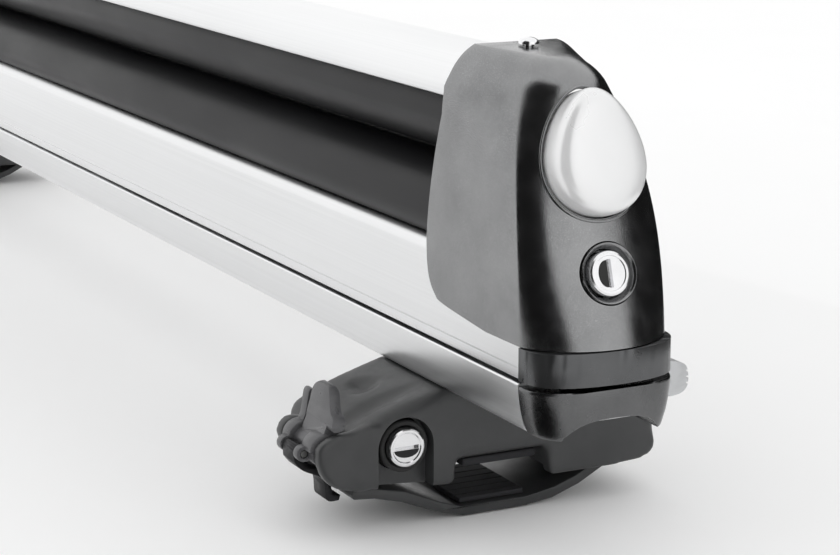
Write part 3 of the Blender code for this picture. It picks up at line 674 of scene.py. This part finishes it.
def button_ring(scale, grow, out, steps=72):
    """Egg-shaped ring, wider in its lower half, square to the leaning face."""
    ring = []
    for i in range(steps):
        angle = 2 * math.pi * i / steps
        across = (14.0 * scale + grow) * math.cos(angle) * (1 - 0.22 * math.sin(angle))
        up = (18.4 * scale + grow) * math.sin(angle)
        x, _, z = face_point(BUTTON, out, up)
        ring.append((x, across, z))
    return ring


def build_housing():
    """Shell over the latch, with a trimmed skirt and openings for the upper arm, the button, the lock and
    the screw.
    """
    bottom = HOUSING.low.z
    levels = [bottom + i * 3.0 for i in range(23)]
    levels += [HOUSING_TOP - down for down in
               (11.7, 9.7, 8.1, 6.7, 5.4, 4.2, 3.1, 2.2, 1.4, 0.8, 0.4, 0.15, 0)]
    made = loft("housing", [housing_ring(z) for z in levels])
    inside = [bottom - 1, SKIRT_TOP, 64, 76, 88, 98, 106, 113, 119, 123.7, 127, 129, 130.4, 131.1]
    walls = [SKIRT_WALL if z <= SKIRT_TOP else HOUSING_WALL for z in inside]
    cavity = loft("cavity", [housing_ring(z, wall, ARM_MOUTH - 1.5) for z, wall in zip(inside, walls)])
    foot, crown = arm_outline(40, UPPER_ARM.high.z + 0.4, ARM_CROWN, UPPER_ARM.high.y + 0.3)
    trim = [(320, 40), (372, 52.75), (345, 55.6), (339.6, 57.6), (336, 61.6), (334.4, 67), (334, 74),
            (320, 74)]
    edge = flowing_line(trim[1:7], 5)
    screw = Span("housing_screw").mid
    cut(made, cavity,
        prism("mouth", "X", [mirrored(foot + crown)], 320, ARM_MOUTH - 0.9),
        prism("skirt", "Y", [[trim[0]] + edge + [trim[7]]], -30, 30),
        loft("button_opening", [button_ring(1, 0.5, -9), button_ring(1, 0.5, 12)]),
        rod(face_point(LOCK, -30), face_point(LOCK, 10), 9.3),
        rod((screw.x, 0, 125), (screw.x, 0, 140), 1.8))
    soften(made, 0.3, 2, 24)
    show(made, "latch_housing_shell", "upper_jaw", HOUSING_PLASTIC, "charcoal_plastic", "latch_housing")


def surface_out(ring):
    """Distance from the leaning plane through the button to the housing's skin, for each ring point."""
    shell = bpy.data.objects["latch_housing_shell"]
    normal = Vector((math.cos(FACE_LEAN), 0, math.sin(FACE_LEAN)))
    found = []
    for point in ring:
        start = (Vector(point) + normal * 40) * MM + MIDDLE
        hit, place, _, _ = shell.ray_cast(start, -normal)
        out = 40 - (place - start).length / MM if hit else 0.0
        found.append(out)
    return found


def build_button_lip():
    """Bead round the button's opening that follows the housing's skin."""
    normal = Vector((math.cos(FACE_LEAN), 0, math.sin(FACE_LEAN)))
    ring = button_ring(1, 1.15, 0, 96)
    outs = surface_out(ring)
    points = [Vector(p) + normal * (out + 0.1) for p, out in zip(ring, outs)]
    made = tube_path("lip", points, 0.5, cyclic=True)
    show(made, "button_lip", "upper_jaw", HOUSING_PLASTIC, "charcoal_plastic")


def build_button():
    """Glossy pillow of a push button with a soft shoulder, and the stem behind it."""
    profile = [(1, -5), (1, 1.6), (0.997, 2.8), (0.985, 4.0), (0.965, 4.9), (0.935, 5.7), (0.895, 6.35),
               (0.84, 6.85), (0.77, 7.2), (0.68, 7.45), (0.56, 7.62), (0.42, 7.74), (0.25, 7.8),
               (0.02, 7.82)]
    made = loft("button", [button_ring(scale, 0, out) for scale, out in profile])
    join(made, rod(face_point(BUTTON, -15.1), face_point(BUTTON, -3), 4))
    smooth(made, 40)
    show(made, "push_button_cap", "button", BUTTON_PLASTIC, "light_grey_plastic", "push_button")


def build_face_lock():
    """Chromed cylinder face with a keyway and a dark half-moon of painted shade, in a chamfered collar."""
    collar = turned("collar", face_point(LOCK, -7), face_point(LOCK, 0.3),
                    [(0, 9), (7.0, 9), (7.35, 8.8), (7.2, 8.5), (6.5, 8.0), (5.6, 7.3), (5.2, 7.05),
                     (0, 7.05)])
    show(smooth(collar, 50), "lock_collar_ring", "upper_jaw", HOUSING_PLASTIC, "charcoal_plastic",
         "lock_collar")
    cylinder = turned("cylinder", face_point(LOCK, -15), face_point(LOCK, 0.6),
                      [(0, 6.6), (14.9, 6.6), (15.3, 6.4), (15.6, 5.9), (15.6, 5.2), (15.25, 5.0),
                       (15.25, 0.01)])
    turn = Matrix.Rotation(-FACE_LEAN, 4, "Y")
    slot = leaning_box(LOCK, (-1.6, -0.55, -4.1), (4, 0.75, 4.1), turn)
    cut(cylinder, slot)
    show(smooth(cylinder, 30), "lock_cylinder_face", "face_lock", CHROME, "lock_chrome",
         "lock_cylinder")
    # a near-black half-moon sheet beside the keyway: painted shade on the lock face
    half_moon = [(-0.8 - 3.4 * math.cos(a) * 0.8, 3.9 * math.sin(a))
                 for a in [math.pi * (i / 14 - 0.5) for i in range(15)]]
    painted_shade_half_moon = prism("painted_shade_half_moon", "X", [half_moon], -0.2, 0.25)
    lean_into_place(painted_shade_half_moon, LOCK, turn, 0.35)
    show(painted_shade_half_moon, "lock_painted_shade_half_moon", "face_lock", SHADOW_GAP, "lock_chrome")


def leaning_box(centre, low, high, turn):
    """A block square to the leaning face, its corners counted from centre."""
    made = box(low, high)
    lean_into_place(made, centre, turn, 0)
    return made


def lean_into_place(piece, centre, turn, out):
    """Move a shape made round the middle of the rail onto the leaning face."""
    place = face_point(centre, out) * MM
    piece.data.transform(Matrix.Translation(place + MIDDLE) @ turn @ Matrix.Translation(-MIDDLE))


def build_screw():
    span = Span("housing_screw")
    x = span.mid.x
    foot = HOUSING.high.z + 0.1
    made = turned("screw", (x, 0, span.low.z), (x, 0, span.high.z),
                  [(0, 1.2), (0.4, 1.4), (foot - span.low.z, 1.4), (foot - span.low.z, 3.1),
                   (foot - span.low.z + 0.6, 3.05), (foot - span.low.z + 1.2, 2.6),
                   (foot - span.low.z + 1.7, 1.7), (foot - span.low.z + 1.95, 0.6),
                   (foot - span.low.z + 2.0, 0.02)])
    show(smooth(made, 40), "housing_screw_head", "upper_jaw", CHROME, "lock_chrome", "housing_screw")


# ---------------------------------------------------------------- front caps

def capped_plan(half_points):
    """Plan of a crowned end cap from its +Y half."""
    half = flowing_line(half_points, 4)
    return half + [(x, -y) for x, y in reversed(half)]


def build_band():
    """Grey band that closes the front of the carriage arm."""
    low = BAND.low.z
    front = BAND.high.x
    plan = capped_plan([(390.3, 24), (394.5, 23.7), (398.6, 22.1), (402.3, 18.6), (404.6, 13.4),
                        (405.9, 7.5), (front, 0.6)])
    made = prism("band", "Z", [plan], low, low + BAND_HEIGHT)
    soften(made, 0.55, 3, 40)
    join(made, box((352, -21, low + 2.2), (392, 21, low + 14.4), 0.5))
    smooth(made, 40)
    show(made, "front_band", "carriage", BAND_PLASTIC, "grey_plastic", "lower_front_cap")


def build_rail_cap(label, side, node):
    """Rail end cap: crowned in plan, tapering like the rail, with two lobes and an arch below."""
    span = Span(node)
    outer = max(abs(span.low.x), abs(span.high.x))
    half = [(390.3, 24), (393.6, 23.9), (396.9, 23.2), (400.6, 20.6), (403.0, 15.8), (404.2, 9),
            (outer, 0.8)]
    plan = capped_plan(half)
    top = RAIL.high.z - 0.8
    rings = []
    for z, taper, inset in ((span.low.z, 0.855, 1.4), (span.low.z + 0.4, 0.868, 0.6), (27.9, 0.885, 0.1),
                            (31, 0.935, 0), (34, 0.965, 0), (37, 0.985, 0), (top - 1.1, 0.998, 0),
                            (top - 0.35, 0.996, 0.35), (top, 0.985, 1.1)):
        rings.append([(side * min(x, outer - inset - 0.4 * (1 - taper) * 10), y * taper, z)
                      for x, y in plan])
    made = loft("cap", rings)
    arch = [(0, 32.1), (5, 32.0), (8.5, 31.6), (11.5, 30.6), (13.8, 29.2), (15.6, 27.6), (16.8, 25)]
    join(made, box(*spread(side * 388, side * 392, (-18, 33), (18, 38.4))))
    cut(made, prism("arch", "X", [mirrored(arch)], *sorted((side * 386, side * 408))))
    soften(made, 0.5, 3, 40)
    show(made, "rail_cap_" + label, "base", CAP_PLASTIC, "charcoal_plastic", node)


def build_release():
    """Translucent push tab with a ribbed end."""
    span = Span("slide_release_button")
    low = span.low.x
    high = span.high.x
    tab = flowing_line([(23, 30.4), (27, 30.3), (31, 30.4), (34.4, 31.2), (36.1, 33.4), (36.1, 37.2),
                        (34.6, 39.9), (30, 41.2), (26, 41.6), (23, 41.7)], 4)
    made = prism("tab", "X", [tab], low, high)
    soften(made, 1.4, 4, 40)
    join(made, box((low, -10, 30.6), (high, 24, 34.8), 0.4), box((low + 1, 9, 33), (high - 1, 13, 41.9)))
    for z in (33.4, 35.3, 37.2):
        cut(made, box((low - 1, 35.5, z), (high + 1, 37, z + 0.7)))
    smooth(made, 35)
    show(made, "release_tab", "release_button", RELEASE_PLASTIC, "light_grey_plastic",
         "slide_release_button")


# ---------------------------------------------------------------- clamp feet

FOOT_HALF_L = 24


def draw_in(points, amount):
    """Move the upper points of a closed outline inwards."""
    made = []
    count = len(points)
    for i in range(count):
        before = Vector(points[i - 1])
        after = Vector(points[(i + 1) % count])
        along = (after - before).normalized()
        share = min(1.0, max(0.0, (points[i][1] + 2) / 6))
        made.append((points[i][0] - along.y * amount * share, points[i][1] + along.x * amount * share))
    return made


def pivot_yz(name):
    place = joint_place(name)
    return (place.y, place.z)


class Foot:
    """One clamp foot; side is +1 at the latch end, where the lock faces outwards along +X."""

    def __init__(self, label, side):
        self.label = label
        self.side = side
        self.centre = joint_place("foot_jaw_%s_turn" % label).x
        self.jaw = pivot_yz("foot_jaw_%s_turn" % label)
        self.lever = pivot_yz("cam_lever_%s_turn" % label)
        self.link = pivot_yz("draw_link_%s_turn" % label)
        self.lock = pivot_yz("foot_lock_%s_turn" % label)

    def x(self, distance):
        """X at a distance from the foot's middle towards its locked face."""
        return self.centre + self.side * distance

    def xs(self, near, far):
        return sorted((self.x(near), self.x(far)))

    def build(self):
        self.build_saddle()
        self.build_pads()
        self.build_jaw()
        self.build_lever()
        self.build_link()
        self.build_lock()

    def build_saddle(self):
        """Body of the foot: a soft crowned form that runs down over the lever, with a lock seat."""
        outline = [(20, 26.7), (-20, 26.7), (-28, 24.4), (-35, 22.3), (-41, 20.2), (-46.4, 18),
                   (-51.4, 15.2), (-53, 12), (-53, 2.4), (-51.6, 0.2), (-44, -2.5), (-17.5, -4.5),
                   (-15.6, 2.8), (15.6, 2.8), (17.5, -6.4), (40, -6.5), (51, -5.8), (55, -4.2), (57, -1),
                   (56.6, 7), (50, 14), (43, 18.2), (36, 21.4), (28, 24.6)]
        made = self.crowned_block(outline)
        cheek = flowing([(-44, 18.4), (-50, 17.0), (-55, 16.6), (-59, 15.7), (-62.4, 13.8), (-63.6, 11),
                         (-63.2, 7.5), (-61.4, 3.2), (-58.4, 0.3), (-54, -1.4), (-46, -2.2), (-40, 4),
                         (-40, 14)], 4)
        y, z = self.lever
        inner_lug = [(-50, 2.2), (-54.7, 5)] + arc((y, z), 5.0, 220, 60, 16) + [(-53.8, 15.6), (-50, 15)]
        join(made, prism("cheek", "X", [cheek], *self.xs(19.4, FOOT_HALF_L - 0.4)),
             prism("lug", "X", [inner_lug], *self.xs(-8.4, -3.4)))
        valley = rod((self.x(11), -23, 39.2), (self.x(11), -58, 26.4), 12.9)
        dimple = turned("dimple", (self.x(-23), -36.5, 28.0), (self.x(1), -36.5, 28.0),
                        [(0, 0.5), (7, 5.2), (13, 7.6), (18, 8.2), (22, 6.6), (24, 0.5)])
        cut(made, valley, dimple)
        self.mould(made, 0.9, 9)
        lock_y = self.lock[0]
        recess = [(lock_y - 9.5, -8)] + arc(self.lock, 9.5, 180, 0, 28) + [(lock_y + 9.5, -8)]
        middle = self.centre
        cut(made,
            box((middle - 19, 17, -10), (middle + 19, 51.4, 5.4)),
            box(*spread(self.x(2.2), self.x(12.2), (-58, -7), (-40, 7.5))),
            box(*spread(self.x(-3.2), self.x(19.2), (-67, 4.8), (-53.2, 17.4))),
            bar(self.x(6), self.x(26), self.lock, 8.6),
            prism("recess", "X", [recess], *self.xs(18, 30)),
            bar(middle - 23, middle + 23, self.jaw, 2.3),
            bar(self.x(-30), self.x(23.1), self.lever, 2.3))
        smooth(made, 40)
        show(made, "foot_body_" + self.label, "base", FOOT_PLASTIC, "charcoal_plastic",
             "foot_saddle_" + self.label)

    def crowned_block(self, outline):
        """Extrude an outline along the bar with its upper edges drawn in near both ends."""
        dense = []
        for (y0, z0), (y1, z1) in zip(outline, outline[1:] + outline[:1]):
            count = max(1, round(math.hypot(y1 - y0, z1 - z0) / 2.5))
            dense += [(y0 + (y1 - y0) * i / count, z0 + (z1 - z0) * i / count) for i in range(count)]
        rings = []
        steps = (0, 0.3, 0.9, 1.8, 2.9, 4.0)
        for end, radius in ((-1, 2.5), (1, 4.0)):
            ends = []
            for d in steps:
                draw = radius - math.sqrt(max(0.0, radius ** 2 - max(0.0, radius - d) ** 2))
                ends.append([(self.x(end * (FOOT_HALF_L - d)), *point) for point in draw_in(dense, draw)])
            rings += ends if end < 0 else ends[::-1]
        return loft("saddle", rings)

    def mould(self, piece, voxel, rounds):
        """Melt sharp edges into a soft moulded form."""
        remesh = piece.modifiers.new("remesh", "REMESH")
        remesh.mode = "VOXEL"
        remesh.voxel_size = voxel * MM
        relax = piece.modifiers.new("relax", "SMOOTH")
        relax.factor = 0.5
        relax.iterations = rounds
        settle(piece)

    def build_pads(self):
        """Ribbed rubber under the saddle and on the jaw."""
        pad = Span("saddle_pad_" + self.label)
        made = box(pad.low, pad.high, 0.5)
        for i in range(7):
            x = pad.low.x + 4 + i * (pad.size.x - 8.8) / 6
            cut(made, box((x, pad.low.y - 1, pad.low.z - 0.6), (x + 0.8, pad.high.y + 1, pad.low.z + 0.7)))
        show(smooth(made, 30), "saddle_rubber_" + self.label, "base", PAD_RUBBER, "black_rubber",
             "saddle_pad_" + self.label)
        pad = Span("jaw_pad_" + self.label)
        made = box(pad.low, pad.high, 0.3)
        for i in range(6):
            x = pad.low.x + 3 + i * (pad.size.x - 6.8) / 5
            cut(made, box((x, pad.low.y - 1, pad.high.z - 0.5), (x + 0.8, pad.high.y + 1, pad.high.z + 1)))
        show(smooth(made, 30), "jaw_rubber_" + self.label, "jaw_" + self.label, PAD_RUBBER,
             "black_rubber", "jaw_pad_" + self.label)

    def build_jaw(self):
        """Dished strap under the bar, smoothly curved, with a round hinge boss along its pivot."""
        top = [(42, -3.6), (30, -9.6), (21, -12.6), (12, -14), (0, -14), (-12, -14), (-19, -11.6), (-32, -6),
               (-43, -3.5), (-49.6, -3.2)]
        bottom = [(-50.4, -4.6), (-49.6, -6.2), (-43, -6.8), (-33, -9.4), (-21, -14.4), (-12, -17),
                  (0, -17), (12, -17), (21, -16), (31, -12.6), (43, -6.4), (49, -3), (49.6, -0.5), (46, 2)]
        low, high = self.xs(-18.5, 18.5)
        made = prism("jaw", "X", [top + bottom], low, high)
        soften(made, 0.9, 4, 30)
        join(made, bar(low + 0.3, high - 0.3, self.jaw, 4, 0.5))
        cut(made, bar(low - 2, high + 2, self.jaw, 2.3))
        smooth(made, 35)
        show(made, "jaw_strap_" + self.label, "jaw_" + self.label, FOOT_PLASTIC, "charcoal_plastic",
             "foot_jaw_" + self.label)

    def build_lever(self):
        """Cam lever: waisted grooved barrel, broad rounded ear, narrow rib and two link lugs."""
        made = bar(self.x(-2.8), self.x(18.6), self.lever, 3.3, 0.2)
        for near, far in ((-3, 2.4), (12, 18.8)):
            join(made, bar(self.x(near), self.x(far), self.lever, 5.2, 0.6))
        root = [(-60.7, 13), (-55.7, 12), (-54.6, 19.4), (-57.8, 20)]
        ear = flowing([(-58.2, 17.8), (-54.3, 17.8), (-53.5, 23), (-52.9, 28.4), (-54.3, 30), (-56.1, 28.8),
                       (-57.2, 23)], 4)
        rib = flowing([(-60.1, 13), (-55.7, 12), (-54.7, 20), (-54.1, 24.6), (-55.3, 25.8), (-56.7, 24.8),
                       (-57.9, 18)], 3)
        lug = [(-60, 7.4), (-60, 13.4)] + arc(self.link, 2.5, 80, 260, 12)
        plate = prism("ear", "X", [ear], *self.xs(3, 22))
        face = flowing([(3.1, 17), (3.2, 23), (4.4, 27.6), (7, 29.8), (10.4, 30.4), (13.6, 29.8), (16, 27.8),
                        (17.2, 25), (18.8, 22.6), (21.2, 21.2), (21.9, 19), (21.6, 17)], 4)
        outline = [(self.x(x), z) for x, z in face]
        combine(plate, [prism("ear_face", "Y", [outline], -70, -40)], "INTERSECT")
        soften(plate, 0.45, 3, 50)
        join(made, prism("root", "X", [root], *self.xs(3.4, 18.3)), plate)
        for near, far, outline, edge in ((-2.6, 1.4, rib, 0.6), (-0.6, 2.3, lug, 0.3), (12.1, 15, lug, 0.3)):
            join(made, soften(prism("rib", "X", [outline], *self.xs(near, far)), edge, 2, 50))
        middle = self.centre
        cut(made, bar(middle - 30, middle + 30, self.lever, 2.3),
            bar(middle - 30, middle + 30, self.link, 1.4))
        smooth(made, 32)
        show(made, "lever_" + self.label, "lever_" + self.label, LEVER_PLASTIC, "grey_plastic",
             "cam_lever_" + self.label)

    def build_link(self):
        """Draw link that hangs from the lever and hooks in under the jaw's tip."""
        outer = flowing_line([(-66.2, 6.4), (-63.4, 3.2), (-57.6, 0.4), (-56.2, -2), (-55.8, -6.6),
                              (-54.4, -8), (-51.4, -8)], 4)
        inner = flowing_line([(-50.9, -6.4), (-53, -6.1), (-53.8, -5), (-54.2, -0.8), (-55.6, 1.8),
                              (-61.6, 5.2), (-62.6, 7.4)], 4)
        outline = arc(self.link, 2, 0, 180, 14) + outer + inner
        made = prism("link", "X", [outline], *self.xs(2.8, 11.6))
        soften(made, 0.35, 2, 50)
        cut(made, bar(self.centre - 30, self.centre + 30, self.link, 1.4))
        smooth(made, 35)
        show(made, "draw_hook_" + self.label, "link_" + self.label, BLACKENED_STEEL, "black_steel",
             "draw_link_" + self.label)

    def build_lock(self):
        """Chromed foot lock with a rolled rim, a keyway and a dished face."""
        y, z = self.lock
        depth = 24.6 - 8
        made = turned("lock", (self.x(8), y, z), (self.x(24.6), y, z),
                      [(0, 6.2), (depth - 0.7, 6.2), (depth - 0.25, 6.0), (depth, 5.6), (depth, 4.9),
                       (depth - 0.35, 4.6), (depth - 0.35, 0.02)])
        cut(made, box(*spread(self.x(22.6), self.x(30), (y - 4.1, z - 0.6), (y + 4.1, z + 0.6))))
        smooth(made, 30)
        show(made, "foot_lock_face_" + self.label, "lock_" + self.label, CHROME, "lock_chrome",
             "foot_lock_" + self.label)
        # a blackened half-moon over the lower half of the lock face: painted shade
        half_moon = [(y + 4.2 * math.cos(a), z - 0.7 - 2.4 * math.sin(a))
                     for a in [math.pi * i / 14 for i in range(15)]]
        painted_shade_half_moon = prism("painted_shade_half_moon", "X", [half_moon], *self.xs(24.1, 24.4))
        show(painted_shade_half_moon, "foot_lock_painted_shade_half_moon_" + self.label, "lock_" + self.label, BLACKENED_STEEL,
             "lock_chrome")
        # the sleeve takes the near-black painted-shadow colour, darker than the foot plastic, as shade in
        # the lock's recess
        sleeve = turned("sleeve", (self.x(8), y, z), (self.x(22.6), y, z),
                        [(0, 8.2), (14.2, 8.2), (14.6, 7.8), (14.6, 6.9), (14.2, 6.5), (0, 6.5)])
        show(smooth(sleeve, 30), "foot_lock_sleeve_" + self.label, "base", SHADOW_GAP,
             "charcoal_plastic", "lock_sleeve_" + self.label)


# ---------------------------------------------------------------- carried-over CAD nodes

def dress_cad_nodes():
    """Materials and rounded edges for the CAD nodes that keep their own shape."""
    finishes = {"hinge_bracket": CAP_PLASTIC, "hinge_cap": HOUSING_PLASTIC, "glide_shoe_front": CAP_PLASTIC,
                "glide_shoe_rear": CAP_PLASTIC}
    for name, node in frame["nodes"].items():
        if node.hide_render:
            continue
        node.data.materials.clear()
        node.data.materials.append(finishes.get(name, ZINC))
        modifier = node.modifiers.new("rounded", "BEVEL")
        modifier.width = 0.25 * MM
        modifier.segments = 2
        modifier.limit_method = "ANGLE"
        modifier.angle_limit = math.radians(40)
        smooth(node, 40)


# ---------------------------------------------------------------- studio

CAMERA_FROM_HOUSING = Vector((0.5612, -0.3284, 0.1212))
VIEW_DIRECTION = Vector((-0.8703, 0.4393, -0.2225))
LENS = 96.43
FLOOR_CLEARANCE = 0.0005


def card(name, centre, target, width, height, strength):
    """An area light facing a point."""
    light = bpy.data.lights.new(name, "AREA")
    light.shape = "RECTANGLE"
    light.size = width
    light.size_y = height
    light.energy = strength
    made = bpy.data.objects.new(name, light)
    bpy.context.scene.collection.objects.link(made)
    made.location = centre
    made.rotation_euler = (Vector(target) - Vector(centre)).to_track_quat("-Z", "Y").to_euler()
    return made


def flag(name, centre, target, width, height):
    """A dark card that the camera doesn't see; it darkens reflections."""
    bm = bmesh.new()
    bmesh.ops.create_grid(bm, x_segments=1, y_segments=1, size=0.5)
    mesh = bpy.data.meshes.new(name)
    bm.to_mesh(mesh)
    bm.free()
    made = bpy.data.objects.new(name, mesh)
    bpy.context.scene.collection.objects.link(made)
    made.scale = (width, height, 1)
    made.location = centre
    made.rotation_euler = (Vector(target) - Vector(centre)).to_track_quat("Z", "Y").to_euler()
    made.visible_camera = False
    made.visible_diffuse = False
    made.visible_shadow = False
    cloth = Recipe(name + "_cloth", 0.9)
    cloth.colour(cloth.mix(cloth.noise(200), (0.004, 0.004, 0.004), (0.008, 0.008, 0.008)))
    mesh.materials.append(cloth.material)
    return made


def build_floor():
    bm = bmesh.new()
    bmesh.ops.create_grid(bm, x_segments=1, y_segments=1, size=6)
    mesh = bpy.data.meshes.new("studio_floor")
    bm.to_mesh(mesh)
    bm.free()
    made = bpy.data.objects.new("studio_floor", mesh)
    bpy.context.scene.collection.objects.link(made)
    made.location.z = CAD_BOUNDS[0][2] - FLOOR_CLEARANCE
    paper = Recipe("floor_paper", 0.8)
    paper.colour(paper.mix(paper.noise(3, 3.0), (0.88, 0.88, 0.88), (0.92, 0.92, 0.92)))
    paper.bump((paper.noise(900, 2.0), 0.03, 0.0002))
    mesh.materials.append(paper.material)


def build_studio():
    world = bpy.data.worlds.new("studio")
    bpy.context.scene.world = world
    world.use_nodes = True
    world.node_tree.nodes["Background"].inputs["Color"].default_value = (1, 1, 1, 1)
    world.node_tree.nodes["Background"].inputs["Strength"].default_value = 1.1
    world.cycles.sampling_method = "NONE"
    bpy.context.scene.view_settings.view_transform = "Standard"
    low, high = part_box("latch_housing")
    middle = (low + high) / 2
    card("key", middle + Vector((-0.3, -1.2, 1.4)), middle, 1.6, 1.0, 0.5)
    card("front", middle + Vector((1.6, 0.5, 0.9)), middle, 0.8, 0.8, 0.5)
    corner = middle + Vector((0.03, 0, 0))
    flag("corner_flag", corner + Vector((0.10, -0.26, 0.2)), corner + Vector((0, 0, 0.2)), 0.56, 1.1)
    flag("rear_flag", corner + Vector((-0.047, 0.298, -0.03)), corner + Vector((0, 0, -0.03)), 0.80, 0.42)
    ground = CAD_BOUNDS[0][2] + FLOOR_CLEARANCE
    under = Vector((corner.x + 0.04, -0.15, ground))
    flag("floor_flag", under, under + Vector((0, 0, 1)), 0.16, 0.20)
    build_floor()


def build_camera():
    low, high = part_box("latch_housing")
    camera = bpy.data.cameras.new("camera")
    camera.lens = LENS
    camera.clip_start = 0.01
    made = bpy.data.objects.new("camera", camera)
    bpy.context.scene.collection.objects.link(made)
    made.location = (low + high) / 2 + CAMERA_FROM_HOUSING
    made.rotation_euler = VIEW_DIRECTION.to_track_quat("-Z", "Y").to_euler()
    bpy.context.scene.camera = made


def build_all():
    build_rail()
    build_lower_arm()
    build_upper_arm()
    build_roll("lower_roll_rubber", "lower_roll", LOWER_ROLL, LOWER_ROLL.low.z, LOWER_ROLL.high.z,
               "carriage")
    build_roll("upper_roll_rubber", "upper_roll", UPPER_ROLL, UPPER_ROLL.high.z, UPPER_ROLL.low.z,
               "upper_jaw")
    build_housing()
    build_button_lip()
    build_button()
    build_face_lock()
    build_screw()
    build_band()
    build_rail_cap("front", 1, "rail_front_cap")
    build_rail_cap("rear", -1, "rail_rear_cap")
    build_release()
    for label, side in (("front", 1), ("rear", -1)):
        Foot(label, side).build()
    dress_cad_nodes()
    build_studio()
    build_camera()


build_all()
